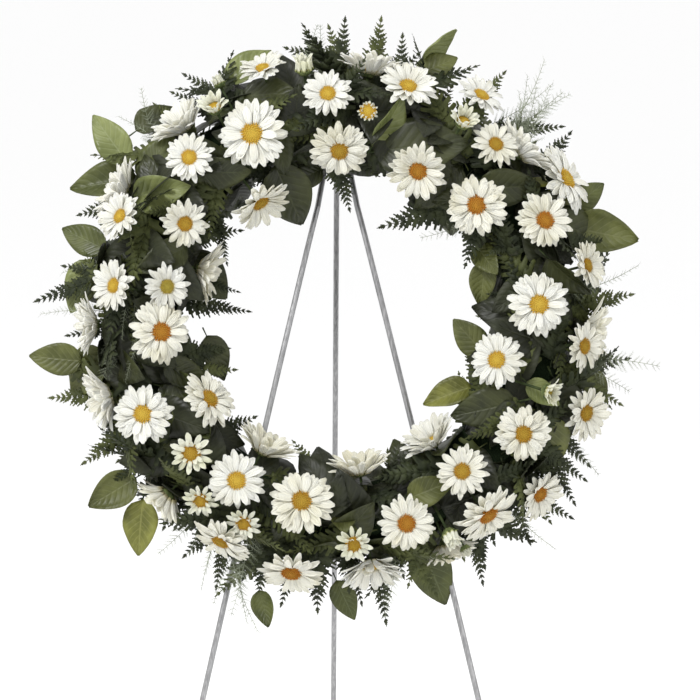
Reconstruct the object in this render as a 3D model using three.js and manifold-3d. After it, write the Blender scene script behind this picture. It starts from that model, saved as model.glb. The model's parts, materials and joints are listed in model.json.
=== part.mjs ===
// A funeral wreath of white daisy chrysanthemums, salal and fern on a soaked foam ring,
// hung on a three-legged easel of round steel rod.
// Millimetres, +Z up. The wreath faces -Y, and the origin is on the floor, in the middle of
// the easel's footprint.

import * as THREE from 'three';
import { mergeVertices } from 'three/addons/utils/BufferGeometryUtils.js';
import Module from 'manifold-3d';

const wasm = await Module();
wasm.setup();

const { sin, cos, sqrt, PI } = Math;
const radians = THREE.MathUtils.degToRad;

// ---------------------------------------------------------------- driving dimensions

const GAP = 0.3; // kept between pieces that touch

// Easel. Heights along the front legs are counted from the floor, in the legs' own plane.
const LEAN = radians(13); // the plane of the front legs leans back by this much
const FOOT_REACH = 300; // each foot stands this far in front of or behind the origin
const LEG_RADIUS = 3;
const LEG_APEX = 1175; // where the two front legs' lines would cross
const LEG_SLOPE = 0.249; // how far a front leg goes sideways for each step down, at the head
const LEG_BOW = 1.65e-5; // and how that slope eases towards the foot, per millimetre
const LEG_TOP = 1170;
const LEG_SET_BACK = 6; // the tops are joggled back to lie on the head bracket
const CROSSBAR_HEIGHT = 793;
const CROSSBAR_OVERHANG = 8;

// Head: a channel of folded steel, open to the back, with the rear leg's pivot in it.
const HEAD_HALF_WIDTH = 9.7;
const HEAD_SHEET = 2;
const HEAD_FRONT = 1.5;
const HEAD_BACK = 25;
const HEAD_LOW = 1124;
const PIVOT_HEIGHT = 1147;
const PIVOT_BACK = 15;
const BOLT_RADIUS = 2.5;
const BOLT_HOLE_RADIUS = 2.9;
const EYE_THICKNESS = 6;
const EYE_RADIUS = 8.5;
const TONGUE_HALF_WIDTH = 5;

// Feet.
const CAP_RADIUS = 6;
const CAP_LENGTH = 32;
const CAP_FLOOR = 5; // plastic left under the end of the rod

// Wreath: a foam ring in a plastic tray, whose tube runs round the ring's centre.
const RING_HEIGHT = 976;
const RING_RADIUS = 200; // from the ring's centre to the middle of the foam
const TUBE_BACK = -35; // the middle of the foam, in front of the legs' plane
const FOAM_HALF_WIDTH = 30;
const FOAM_FRONT = -58;
const TRAY_BACK = -10;
const TRAY_WALL = 2;
const TRAY_RIM = 7; // how far the tray's rim comes forward round the foam
const RING_STEPS = 36;

// Greens: sprigs of salal and fern in twelve bunches round the ring.
const BUNCHES = 12;
const BUNCH_GAP = 1.8; // half of the slot between two bunches, where the wires pass
const GREENS_FRONT_DEPTH = 54;
const GREENS_SIDE_DEPTH = 60;
const BLADE_THICKNESS = 2.4;
const RIM_REACH = 303; // from the ring's centre to the tips of the rim leaves
const HOLE_REACH = 130; // and to the tips of the leaves in the hole
const PEG_RADIUS = 2;
const PEG_AROUND = 8; // each bunch's peg stands this many degrees off the front of the tube
const PEG_END = 18; // and stops this far from the middle of the foam

// Flowers.
const HEAD_DISTANCE = 70; // from the middle of the foam to the back of a flower
const STEM_RADIUS = 2;
const STEM_END = 16; // the stems stop this far from the middle of the foam
const BORE_SIDES = 6;
const FLOWER_STEPS = 8;
const DISC_HEIGHT = 10.5; // from the back of a flower to the top of its disc
const DISC_RADIUS = 9;

// ---------------------------------------------------------------- helpers

const UP = new THREE.Vector3(0, 1, 0);

function trianglesOf(index) {
  const kept = [];
  for (let i = 0; i < index.length; i += 3) {
    const [a, b, c] = [index[i], index[i + 1], index[i + 2]];
    if (a !== b && b !== c && c !== a) kept.push(a, b, c);
  }
  return new Uint32Array(kept);
}

// A closed geometry as a solid that can be cut and joined.
function solid(geometry) {
  const bare = geometry.clone();
  bare.deleteAttribute('normal');
  bare.deleteAttribute('uv');
  const merged = mergeVertices(bare, 1e-3);
  return new wasm.Manifold(new wasm.Mesh({
    numProp: 3,
    vertProperties: new Float32Array(merged.attributes.position.array),
    triVerts: trianglesOf(merged.index.array),
  }));
}

function geometryOf(body) {
  const mesh = body.getMesh();
  const geometry = new THREE.BufferGeometry();
  geometry.setAttribute('position', new THREE.BufferAttribute(mesh.vertProperties, 3));
  geometry.setIndex(new THREE.BufferAttribute(mesh.triVerts, 1));
  geometry.computeVertexNormals();
  return geometry;
}

// The largest of the separate bodies that a cut leaves.
function largest(body) {
  return body.decompose().sort((a, b) => b.volume() - a.volume())[0];
}

// Turns a geometry's own Y axis to a direction, and moves it to a point.
function aimed(geometry, point, direction) {
  const turn = new THREE.Quaternion().setFromUnitVectors(UP, direction.clone().normalize());
  return geometry.applyQuaternion(turn).translate(point.x, point.y, point.z);
}

function rod(from, to, radius, sides) {
  const along = new THREE.Vector3().subVectors(to, from);
  const geometry = new THREE.CylinderGeometry(radius, radius, along.length(), sides);
  const middle = new THREE.Vector3().addVectors(from, to).multiplyScalar(0.5);
  return aimed(geometry, middle, along);
}

function bentRod(points, radius, steps, sides) {
  const path = new THREE.CatmullRomCurve3(points.map((p) => new THREE.Vector3(...p)));
  const section = new THREE.Shape().absarc(0, 0, radius, 0, 2 * PI);
  return new THREE.ExtrudeGeometry(section, { steps, extrudePath: path, curveSegments: sides / 2 });
}

// A ring of revolution round the lathe's own axis, from a closed outline of [radius, height].
function turned(outline, steps) {
  const points = [...outline, outline[0]].map(([r, h]) => new THREE.Vector2(r, h));
  return new THREE.LatheGeometry(points, steps);
}

// A flat outline in the legs' own side view, [backwards, up], cut from sheet across X.
function sidePlate(shape, thickness, curveSegments = 6) {
  const plate = new THREE.ExtrudeGeometry(shape, { depth: thickness, bevelEnabled: false, curveSegments });
  const toSide = new THREE.Matrix4().makeBasis(
    new THREE.Vector3(0, 1, 0),
    new THREE.Vector3(0, 0, 1),
    new THREE.Vector3(1, 0, 0),
  );
  return plate.translate(0, 0, -thickness / 2).applyMatrix4(toSide);
}

function block(x0, x1, y0, y1, z0, z1) {
  const box = new THREE.BoxGeometry(x1 - x0, y1 - y0, z1 - z0);
  return box.translate((x0 + x1) / 2, (y0 + y1) / 2, (z0 + z1) / 2);
}

// ---------------------------------------------------------------- materials

function finish(color, roughness, metalness = 0) {
  return new THREE.MeshStandardMaterial({ color, roughness, metalness });
}

const STEEL = finish(0xa6a8aa, 0.35, 1);
const ZINC = finish(0xb9bbbd, 0.3, 1);
const CAP = finish(0x8b8d8f, 0.6);
const TRAY = finish(0x1f3324, 0.55);
const FOAM = finish(0x2f4a2c, 0.95);
const WIRE = finish(0x2b3a2b, 0.5, 0.6);
const GREENS = finish(0x3a4a2c, 0.7);
const PETALS = finish(0xf2f1ea, 0.7);

// ---------------------------------------------------------------- the frame of the front legs

// Everything but the rear leg is drawn upright in the plane of the front legs, with its
// foot line on the floor, and then leant back with that plane.
const leaning = new THREE.Group();
leaning.position.set(0, -FOOT_REACH, 0);
leaning.rotation.x = -LEAN;
leaning.updateMatrixWorld();

const wreath = new THREE.Group();
wreath.name = 'wreath_on_easel';
wreath.add(leaning);

function leant(name, geometry, material) {
  const mesh = new THREE.Mesh(geometry, material);
  mesh.name = name;
  leaning.add(mesh);
}

function upright(name, geometry, material) {
  const mesh = new THREE.Mesh(geometry, material);
  mesh.name = name;
  wreath.add(mesh);
}

function toWorld(x, y, z) {
  return new THREE.Vector3(x, y, z).applyMatrix4(leaning.matrixWorld);
}

// ---------------------------------------------------------------- front legs and crossbar

function halfSpread(height) {
  const down = LEG_APEX - height;
  return LEG_SLOPE * down - LEG_BOW * down * down;
}

const HEAD_LEG_X = HEAD_HALF_WIDTH + GAP + LEG_RADIUS;
const LEG_START = 8; // the rod's end stands this high inside its foot cap

function frontLeg(side) {
  const straight = [LEG_START, 250, 500, 750, 950, 1070].map((h) => [side * halfSpread(h), 0, h]);
  const head = [
    [side * (HEAD_LEG_X + 1.6), LEG_SET_BACK * 0.35, 1116],
    [side * HEAD_LEG_X, LEG_SET_BACK, 1132],
    [side * HEAD_LEG_X, LEG_SET_BACK, LEG_TOP],
  ];
  return bentRod([...straight, ...head], LEG_RADIUS, 30, 10);
}

leant('front_leg_left', frontLeg(-1), STEEL);
leant('front_leg_right', frontLeg(1), STEEL);

const CROSSBAR_Y = -(2 * LEG_RADIUS + GAP);
const crossbarHalf = halfSpread(CROSSBAR_HEIGHT) + CROSSBAR_OVERHANG;
leant('crossbar', rod(
  new THREE.Vector3(-crossbarHalf, CROSSBAR_Y, CROSSBAR_HEIGHT),
  new THREE.Vector3(crossbarHalf, CROSSBAR_Y, CROSSBAR_HEIGHT),
  LEG_RADIUS, 10), STEEL);

// ---------------------------------------------------------------- head bracket and pivot

const pivot = new THREE.Vector3(0, PIVOT_BACK, PIVOT_HEIGHT);
const ACROSS = new THREE.Vector3(1, 0, 0);

function acrossPivot(geometry, x) {
  return aimed(geometry, new THREE.Vector3(x, pivot.y, pivot.z), ACROSS);
}

function headBracket() {
  const outside = block(-HEAD_HALF_WIDTH, HEAD_HALF_WIDTH, HEAD_FRONT, HEAD_BACK, HEAD_LOW, LEG_TOP);
  const inner = HEAD_HALF_WIDTH - HEAD_SHEET;
  const inside = block(-inner, inner, HEAD_FRONT + HEAD_SHEET, HEAD_BACK + 1, HEAD_LOW - 1, LEG_TOP + 1);
  const hole = acrossPivot(new THREE.CylinderGeometry(BOLT_HOLE_RADIUS, BOLT_HOLE_RADIUS, 40, 16), 0);
  return geometryOf(solid(outside).subtract(solid(inside)).subtract(solid(hole)));
}

function spacer(side) {
  const inner = EYE_THICKNESS / 2 + GAP;
  const outer = HEAD_HALF_WIDTH - HEAD_SHEET - GAP;
  const half = (outer - inner) / 2;
  const outline = [[BOLT_HOLE_RADIUS, -half], [5, -half], [5, half], [BOLT_HOLE_RADIUS, half]];
  return acrossPivot(turned(outline, 16), (side * (inner + outer)) / 2);
}

const BOLT_SEAT = HEAD_HALF_WIDTH + GAP;
const HEX_RADIUS = 4.5;
const HEX_HEIGHT = 3.5;
const BOLT_END = BOLT_SEAT + GAP + HEX_HEIGHT + 3;

function hingeBolt() {
  const outline = [
    [0, -BOLT_END], [BOLT_RADIUS, -BOLT_END], [BOLT_RADIUS, BOLT_SEAT], [0, BOLT_SEAT],
  ];
  const shank = new THREE.LatheGeometry(outline.map(([r, h]) => new THREE.Vector2(r, h)), 16);
  const head = new THREE.CylinderGeometry(HEX_RADIUS, HEX_RADIUS, HEX_HEIGHT, 6);
  head.translate(0, BOLT_SEAT + HEX_HEIGHT / 2 - 0.01, 0);
  return acrossPivot(geometryOf(solid(shank).add(solid(head))), 0);
}

function hingeNut() {
  const nut = solid(new THREE.CylinderGeometry(HEX_RADIUS, HEX_RADIUS, HEX_HEIGHT, 6));
  const thread = solid(new THREE.CylinderGeometry(BOLT_RADIUS + GAP, BOLT_RADIUS + GAP, 10, 16));
  return acrossPivot(geometryOf(nut.subtract(thread)), -(BOLT_SEAT + HEX_HEIGHT / 2));
}

leant('head_bracket', headBracket(), STEEL);
leant('hinge_spacer_left', spacer(-1), ZINC);
leant('hinge_spacer_right', spacer(1), ZINC);
leant('hinge_bolt', hingeBolt(), ZINC);
leant('hinge_nut', hingeNut(), ZINC);

// The wreath's hook: welded up the bracket's front, it steps forward and up in a short tip.
const HOOK_RADIUS = 1.5;
const HOOK_SEAT = 1163;
const HOOK_TIP_Y = -5.7;
const hookBack = HEAD_FRONT - GAP - HOOK_RADIUS;
leant('wreath_hook', bentRod([
  [0, hookBack, 1130],
  [0, hookBack, 1150],
  [0, hookBack, HOOK_SEAT - 4],
  [0, (hookBack + HOOK_TIP_Y) / 2, HOOK_SEAT],
  [0, HOOK_TIP_Y, HOOK_SEAT + 4],
  [0, HOOK_TIP_Y, HOOK_SEAT + 14],
], HOOK_RADIUS, 16, 8), STEEL);

// ---------------------------------------------------------------- rear leg

const pivotWorld = toWorld(0, PIVOT_BACK, PIVOT_HEIGHT);
const rearFoot = new THREE.Vector3(0, FOOT_REACH, 0);
const rearDirection = new THREE.Vector3().subVectors(rearFoot, pivotWorld).normalize();
const rearAngle = Math.atan2(rearDirection.y, -rearDirection.z) + LEAN; // from the front legs
const TONGUE_LENGTH = 34; // from the pivot to the end of the rod

// The eye is a flat tongue. Its heel bears on the bracket's web and stops the leg.
function rearLegEye() {
  const heel = PIVOT_BACK - HEAD_FRONT - HEAD_SHEET - GAP;
  const radius = EYE_RADIUS;
  const half = TONGUE_HALF_WIDTH;
  const down = -PI / 2 + rearAngle; // the tongue's direction in the side view
  const spread = Math.asin(half / radius);
  const end = (sign) => [
    TONGUE_LENGTH * cos(down) + sign * half * -sin(down),
    TONGUE_LENGTH * sin(down) + sign * half * cos(down),
  ];
  const outline = new THREE.Shape();
  outline.moveTo(-heel, 1);
  outline.lineTo(-heel, 7);
  outline.lineTo(-3, sqrt(radius * radius - 9));
  outline.absarc(0, 0, radius, Math.acos(-3 / radius), down + spread, true);
  outline.lineTo(...end(1));
  outline.lineTo(...end(-1));
  outline.absarc(0, 0, radius, down - spread, -PI + 0.5, true);
  const plate = sidePlate(outline, EYE_THICKNESS).translate(0, pivot.y, pivot.z);
  const hole = acrossPivot(new THREE.CylinderGeometry(BOLT_HOLE_RADIUS, BOLT_HOLE_RADIUS, 20, 16), 0);
  return geometryOf(solid(plate).subtract(solid(hole)));
}

function rearPoint(fromPivot) {
  return pivotWorld.clone().addScaledVector(rearDirection, fromPivot);
}

const rearLength = pivotWorld.distanceTo(rearFoot);
leant('rear_leg_eye', rearLegEye(), STEEL);
upright('rear_leg', rod(
  rearPoint(TONGUE_LENGTH + GAP), rearPoint(rearLength - LEG_START), LEG_RADIUS, 10), STEEL);

// ---------------------------------------------------------------- foot caps

// A soft cap over the end of a rod, cut flat where it stands on the floor.
function footCap(foot, up) {
  const outline = [
    [0, -12], [CAP_RADIUS, -12], [CAP_RADIUS, CAP_LENGTH - 3], [CAP_RADIUS - 1.5, CAP_LENGTH],
    [LEG_RADIUS + GAP, CAP_LENGTH], [LEG_RADIUS + GAP, CAP_FLOOR], [0, CAP_FLOOR],
  ];
  const cap = new THREE.LatheGeometry(outline.map(([r, h]) => new THREE.Vector2(r, h)), 14);
  const floor = block(-400, 400, -400, 400, -50, 0);
  return geometryOf(solid(aimed(cap, foot, up)).subtract(solid(floor)));
}

function frontFootUp(side) {
  const low = toWorld(side * halfSpread(0), 0, 0);
  const high = toWorld(side * halfSpread(60), 0, 60);
  return high.sub(low);
}

upright('foot_cap_left', footCap(toWorld(-halfSpread(0), 0, 0), frontFootUp(-1)), CAP);
upright('foot_cap_right', footCap(toWorld(halfSpread(0), 0, 0), frontFootUp(1)), CAP);
upright('foot_cap_rear', footCap(rearFoot, rearDirection.clone().negate()), CAP);

// ---------------------------------------------------------------- places round the ring

// clock: degrees round the ring, 0 to the right and 90 at the top.
// around: degrees round the tube, 0 to the front, 90 outwards, -90 into the hole.
function ringPlace(clock, around, distance) {
  const c = radians(clock);
  const a = radians(around);
  const out = new THREE.Vector3(cos(c), 0, sin(c));
  const normal = out.clone().multiplyScalar(sin(a)).add(new THREE.Vector3(0, -cos(a), 0));
  const point = out.multiplyScalar(RING_RADIUS)
    .add(new THREE.Vector3(0, TUBE_BACK, RING_HEIGHT))
    .addScaledVector(normal, distance);
  return { point, normal };
}

// ---------------------------------------------------------------- flowers

// clock, around, and the distance across the petals.
const DAISIES = [
  [93, 15, 60], [73, 31, 60], [116, -2, 68], [134, 12, 60], [90, -33, 58], [61, -33, 60],
  [125, -61, 56], [156, 33, 58], [150, -19, 58], [173, 21, 60], [-174, -18, 58],
  [-178, 60, 52], [-153, 16, 58], [-147, -40, 58], [-122, -4, 60], [-102, -8, 64],
  [-134, 67, 56], [-73, 15, 60], [-53, -2, 60], [-34, 14, 60], [-42, 84, 56],
  [-22, 70, 58], [-8, 40, 58], [-17, -33, 58], [2, -3, 60], [24, 19, 62], [38, -23, 58],
  [47, 24, 58],
];

// Stem, bracts, a shallow cup of petals and the domed disc, turned in one.
function daisy(across) {
  const rim = across / 2;
  const stem = HEAD_DISTANCE - STEM_END;
  const outline = [
    [0, -stem], [STEM_RADIUS, -stem], [STEM_RADIUS, -1], [7, 0], [rim, 6], [rim - 0.5, 8],
    [DISC_RADIUS, 5.5], [6, 9], [0, DISC_HEIGHT],
  ];
  return new THREE.LatheGeometry(outline.map(([r, h]) => new THREE.Vector2(r, h)), FLOWER_STEPS);
}

function daisyInPlace([clock, around, across]) {
  const { point, normal } = ringPlace(clock, around, HEAD_DISTANCE);
  return aimed(daisy(across), point, normal);
}

// The bore that a stem or a peg leaves in the foam and the greens.
function bore(clock, around, from, to, radius) {
  const { point: inner } = ringPlace(clock, around, from);
  const { point: outer } = ringPlace(clock, around, to);
  return solid(rod(inner, outer, radius, BORE_SIDES));
}

const BORE_RADIUS = (STEM_RADIUS + GAP) / cos(PI / BORE_SIDES);

function stemBores(outer) {
  return DAISIES.map(([clock, around]) => bore(clock, around, STEM_END - GAP, outer, BORE_RADIUS));
}

function eachBunch(make) {
  return Array.from({ length: BUNCHES }, (_, i) => make(((i + 0.5) * 360) / BUNCHES, i));
}

// ---------------------------------------------------------------- tray, foam and wires

const TRAY_FLOOR = TRAY_BACK - TRAY_WALL;
const TIE_CLOCKS = [-60, -120]; // where the crossbar crosses behind the tube
const tieX = (RING_HEIGHT - CROSSBAR_HEIGHT) / Math.tan(radians(60));
const TIE_MIDDLE = CROSSBAR_Y - 2.4;
const TIE_RADIUS = 6.2;
const WIRE_RADIUS = 0.8;
const HANGER_X = 20;
const HANGER_HEIGHT = 1152;
const SLOT_HALF = 1.6; // half the width of a wire's slot
const SLOT_ROOM = 2.2; // the pocket's room in front of a tie
const HANGER_POCKET = 6; // and behind the tray's floor for the hanger's ends

// Slots through the tray, with the pockets behind them, that the wires pass through.
function wirePockets() {
  const ties = TIE_CLOCKS.map((clock) => {
    const x = Math.sign(cos(radians(clock))) * tieX;
    return block(x - SLOT_HALF, x + SLOT_HALF, TIE_MIDDLE - TIE_RADIUS - SLOT_ROOM, TRAY_BACK + 1,
      CROSSBAR_HEIGHT - TIE_RADIUS - SLOT_HALF, CROSSBAR_HEIGHT + TIE_RADIUS + SLOT_HALF);
  });
  const hanger = [-1, 1].map((side) => block(
    side * HANGER_X - SLOT_HALF, side * HANGER_X + SLOT_HALF, TRAY_FLOOR - HANGER_POCKET,
    TRAY_BACK + 1, HANGER_HEIGHT - SLOT_HALF, HANGER_HEIGHT + SLOT_HALF));
  return [...ties, ...hanger].map(solid);
}

function trayOutline() {
  const inner = RING_RADIUS - FOAM_HALF_WIDTH - GAP;
  const outer = RING_RADIUS + FOAM_HALF_WIDTH + GAP;
  const front = TRAY_FLOOR - TRAY_RIM;
  return [
    [inner - TRAY_WALL, TRAY_BACK], [outer + TRAY_WALL, TRAY_BACK], [outer + TRAY_WALL, front],
    [outer, front], [outer, TRAY_FLOOR], [inner, TRAY_FLOOR], [inner, front],
    [inner - TRAY_WALL, front],
  ];
}

function liftedToRing(geometry) {
  return geometry.translate(0, 0, RING_HEIGHT);
}

function facingOut(outline) {
  const area = outline.reduce((sum, [x, y], i) => {
    const [nx, ny] = outline[(i + 1) % outline.length];
    return sum + x * ny - nx * y;
  }, 0);
  return area > 0 ? outline : [...outline].reverse();
}

function ringSolid(outline) {
  return solid(liftedToRing(turned(facingOut(outline), RING_STEPS)));
}

function foamOutline() {
  const inner = RING_RADIUS - FOAM_HALF_WIDTH;
  const outer = RING_RADIUS + FOAM_HALF_WIDTH;
  const bevel = 9;
  return [
    [inner, TRAY_FLOOR - GAP], [outer, TRAY_FLOOR - GAP], [outer, FOAM_FRONT + bevel],
    [outer - bevel, FOAM_FRONT], [inner + bevel, FOAM_FRONT], [inner, FOAM_FRONT + bevel],
  ];
}

function cutAll(body, cutters) {
  return cutters.reduce((left, cutter) => left.subtract(cutter), body);
}

const FOAM_OUTSIDE = 46; // far enough along a stem to be clear of the foam
const pegBores = eachBunch((clock) => bore(clock, PEG_AROUND, PEG_END - GAP, FOAM_OUTSIDE,
  (PEG_RADIUS + GAP) / cos(PI / BORE_SIDES)));

leant('ring_tray', geometryOf(cutAll(ringSolid(trayOutline()), wirePockets())), TRAY);
leant('foam_ring', geometryOf(cutAll(
  ringSolid(foamOutline()), [...stemBores(FOAM_OUTSIDE), ...pegBores, ...wirePockets()])), FOAM);

function tieWire(side) {
  const section = new THREE.TorusGeometry(TIE_RADIUS, WIRE_RADIUS, 6, 14);
  return section.rotateY(PI / 2).translate(side * tieX, TIE_MIDDLE, CROSSBAR_HEIGHT);
}

leant('tie_wire_left', tieWire(-1), WIRE);
leant('tie_wire_right', tieWire(1), WIRE);

// The hanger: a bow of wire on the tray's back, its ends turned in through the tray.
leant('hanger_wire', bentRod([
  [-HANGER_X, TRAY_FLOOR - 4, HANGER_HEIGHT],
  [-HANGER_X, TRAY_BACK + 2.5, HANGER_HEIGHT],
  [-HANGER_X * 0.8, TRAY_BACK + 5, HANGER_HEIGHT + 5],
  [-HANGER_X * 0.3, -2.6, HOOK_SEAT + 3.2],
  [HANGER_X * 0.3, -2.6, HOOK_SEAT + 3.2],
  [HANGER_X * 0.8, TRAY_BACK + 5, HANGER_HEIGHT + 5],
  [HANGER_X, TRAY_BACK + 2.5, HANGER_HEIGHT],
  [HANGER_X, TRAY_FLOOR - 4, HANGER_HEIGHT],
], WIRE_RADIUS, 30, 8), WIRE);

// ---------------------------------------------------------------- greens

// The foliage wraps the front and sides of the foam, as a thick C in section.
const GREENS_WRAP = 106; // degrees round the tube, from the front to either end of the C
const WRAP_STEPS = 4;

function greensOutline() {
  const outline = [];
  for (let step = -WRAP_STEPS; step <= WRAP_STEPS; step += 1) {
    const a = (GREENS_WRAP * step) / WRAP_STEPS;
    outline.push([
      RING_RADIUS + GREENS_SIDE_DEPTH * sin(radians(a)),
      TUBE_BACK - GREENS_FRONT_DEPTH * cos(radians(a)),
    ]);
  }
  const clear = FOAM_HALF_WIDTH + TRAY_WALL + 3 * GAP;
  const back = outline[0][1];
  return [
    ...outline,
    [RING_RADIUS + clear, back], [RING_RADIUS + clear, FOAM_FRONT - GAP],
    [RING_RADIUS - clear, FOAM_FRONT - GAP], [RING_RADIUS - clear, back],
  ];
}

// The wedge of space that one bunch may fill.
function wedge(clock) {
  const half = radians(180 / BUNCHES);
  const reach = 420;
  const apex = BUNCH_GAP / sin(half);
  const outline = new THREE.Shape();
  outline.moveTo(apex, 0);
  outline.lineTo(apex + reach, reach * Math.tan(half));
  outline.lineTo(apex + reach, -reach * Math.tan(half));
  outline.closePath();
  const prism = new THREE.ExtrudeGeometry(outline, { depth: 300, bevelEnabled: false });
  prism.translate(0, 0, -100).rotateZ(radians(clock)).rotateX(PI / 2);
  return solid(liftedToRing(prism));
}

// One leaf blade, from its foot to its tip along Y.
function blade(length, width) {
  const outline = new THREE.Shape();
  outline.moveTo(0, 0);
  outline.quadraticCurveTo(width, length * 0.4, 0, length);
  outline.quadraticCurveTo(-width, length * 0.4, 0, 0);
  const plate = new THREE.ExtrudeGeometry(outline, {
    depth: BLADE_THICKNESS, bevelEnabled: false, curveSegments: 3,
  });
  return plate.translate(0, 0, -BLADE_THICKNESS / 2);
}

// A blade that grows from inside the greens to a tip at the given reach from the ring's centre.
function bladeInPlace(clock, around, reach, width) {
  const { point, normal } = ringPlace(clock, around, 46);
  const radial = new THREE.Vector2(point.x, point.z - RING_HEIGHT).length();
  const length = Math.abs(reach - radial) / Math.abs(sin(radians(around)));
  return solid(aimed(blade(length, width), point, normal));
}

// The rim leaves reach a little further in some places than in others.
function rimReach(clock) {
  return RIM_REACH + 8 * cos(radians(12 * clock));
}

function bunchBlades(clock) {
  const rim = [-11, 0, 11].map((step) => {
    const at = clock + step;
    return bladeInPlace(at, step ? 78 : 97, rimReach(at), 34);
  });
  return [...rim, bladeInPlace(clock + 4, -84, HOLE_REACH, 28)];
}

const flowerRoom = DAISIES.map(([clock, around, across]) => {
  const { point, normal } = ringPlace(clock, around, HEAD_DISTANCE - GAP);
  const rim = across / 2 + GAP;
  const outline = [[0, -1.5], [7.5, -0.6], [rim, 5.2], [rim, 60], [0, 60]];
  const room = new THREE.LatheGeometry(
    outline.map(([r, h]) => new THREE.Vector2(r, h)), FLOWER_STEPS);
  return solid(aimed(room, point, normal));
});

const greensRing = ringSolid(greensOutline());
const greensCutters = [...stemBores(HEAD_DISTANCE), ...flowerRoom];

function greensBunch(clock) {
  const space = wedge(clock);
  const peg = bore(clock, PEG_AROUND, PEG_END, FOAM_OUTSIDE, PEG_RADIUS);
  const body = bunchBlades(clock).reduce((left, leaf) => left.add(leaf), greensRing.intersect(space));
  return geometryOf(largest(cutAll(body.intersect(space).add(peg), greensCutters)));
}

function numbered(name, i) {
  return `${name}_${String(i + 1).padStart(2, '0')}`;
}

eachBunch((clock, i) => leant(numbered('greens', i), greensBunch(clock), GREENS));
DAISIES.forEach((flower, i) => leant(numbered('daisy', i), daisyInPlace(flower), PETALS));

export default wreath;
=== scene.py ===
# %% [markdown]
# # A daisy wreath on a folding wire easel
# The real piece is a ring of wet floral foam in a plastic tray, hung on a three-legged wire easel.
# Broad glossy leaves, fern fronds and fine asparagus sprays are pushed into the foam first, and hide it.
# About sixty white daisies follow, each on its own stem, so they stand a little above the greens.
# The solid frame is loaded as it was made, and every soft piece is modelled here around it.

import json
import math
import random

import bmesh
import bpy
from mathutils import Matrix, Vector
from mathutils.bvhtree import BVHTree

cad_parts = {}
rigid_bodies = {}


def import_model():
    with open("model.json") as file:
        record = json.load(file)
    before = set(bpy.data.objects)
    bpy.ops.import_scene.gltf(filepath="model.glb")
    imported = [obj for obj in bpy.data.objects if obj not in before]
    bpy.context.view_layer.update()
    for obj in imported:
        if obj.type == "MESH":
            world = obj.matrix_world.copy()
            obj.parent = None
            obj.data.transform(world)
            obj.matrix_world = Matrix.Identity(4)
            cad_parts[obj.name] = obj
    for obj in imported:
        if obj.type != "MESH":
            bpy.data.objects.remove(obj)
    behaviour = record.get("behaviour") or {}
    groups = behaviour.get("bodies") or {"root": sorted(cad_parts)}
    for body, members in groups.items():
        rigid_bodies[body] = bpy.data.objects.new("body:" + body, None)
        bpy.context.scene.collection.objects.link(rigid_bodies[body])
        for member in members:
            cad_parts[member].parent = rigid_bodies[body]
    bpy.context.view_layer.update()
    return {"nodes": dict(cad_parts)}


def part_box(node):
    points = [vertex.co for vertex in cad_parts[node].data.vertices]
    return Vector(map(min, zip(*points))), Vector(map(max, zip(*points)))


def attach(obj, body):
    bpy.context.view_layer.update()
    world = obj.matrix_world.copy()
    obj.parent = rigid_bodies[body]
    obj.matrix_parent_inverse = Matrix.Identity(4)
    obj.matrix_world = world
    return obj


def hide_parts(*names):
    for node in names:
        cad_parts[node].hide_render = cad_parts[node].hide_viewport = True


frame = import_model()
nodes = frame["nodes"]
BODY = "wreath_and_front_legs"
MM = 0.001
chance = random.Random(1907)

# %% [markdown]
# The wreath leans back with the front legs, so it is easiest to think of it face on.
# Three directions belong to it: right, up along its face, and forward out of its face.
# The foam's own box gives the middle of the ring, and every leaf and flower is placed from there.

# %% Directions of the leaning ring
LEAN = math.radians(13)
RING_RADIUS = 200 * MM
RIGHT = Vector((1, 0, 0))
UP = Vector((0, math.sin(LEAN), math.cos(LEAN)))
FORWARD = Vector((0, -math.cos(LEAN), math.sin(LEAN)))
foam_low, foam_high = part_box("foam_ring")
CENTRE = (foam_low + foam_high) / 2


def on_face(across, up, forward=0.0):
    """A point given from the ring's middle, as it is seen face on."""
    return CENTRE + RIGHT * across + UP * up + FORWARD * forward


def read_face(point):
    """The across, up and forward distances of a point from the ring's middle."""
    offset = point - CENTRE
    return offset.dot(RIGHT), offset.dot(UP), offset.dot(FORWARD)


def ring_normal(clock, around):
    """The direction out of the ring's body: clock runs round the wreath from the right, and
    around goes from the front (0) over the rim (90 degrees) or into the hole (-90 degrees)."""
    out = RIGHT * math.cos(clock) + UP * math.sin(clock)
    return out * math.sin(around) + FORWARD * math.cos(around)


def ring_point(clock, around, distance):
    """A point at that distance from the circle which runs through the middle of the foam."""
    out = RIGHT * math.cos(clock) + UP * math.sin(clock)
    return CENTRE + out * RING_RADIUS + ring_normal(clock, around) * distance


def depth_at(across, up, distance):
    """How far forward the dome of greens is, at that distance from the foam's own circle."""
    aside = math.hypot(across, up) - RING_RADIUS
    return math.sqrt(max(distance ** 2 - aside ** 2, 0))


print("ring middle", [round(x, 4) for x in CENTRE])

# %% [markdown]
# Three small helpers stand for the hand on the mouse: open one piece in edit mode,
# select the points whose place passes a test, and close it again.
# Everything else is a usual operator, acting on what is selected.

# %% Helpers for modelling


def select_only(*pieces):
    """Selects these pieces and nothing else, with the first one active."""
    bpy.ops.object.select_all(action="DESELECT")
    for piece in pieces:
        piece.select_set(True)
    bpy.context.view_layer.objects.active = pieces[0]


def open_piece(piece):
    """Edit mode on one piece, with nothing selected in it."""
    select_only(piece)
    bpy.ops.object.mode_set(mode="EDIT")
    bpy.ops.mesh.select_mode(type="VERT")
    bpy.ops.mesh.select_all(action="DESELECT")


def pick(piece, test):
    """Selects the points whose place passes the test."""
    mesh = bmesh.from_edit_mesh(piece.data)
    for vertex in mesh.verts:
        vertex.select = bool(test(vertex.co))
    mesh.select_flush(True)
    bmesh.update_edit_mesh(piece.data)


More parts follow.
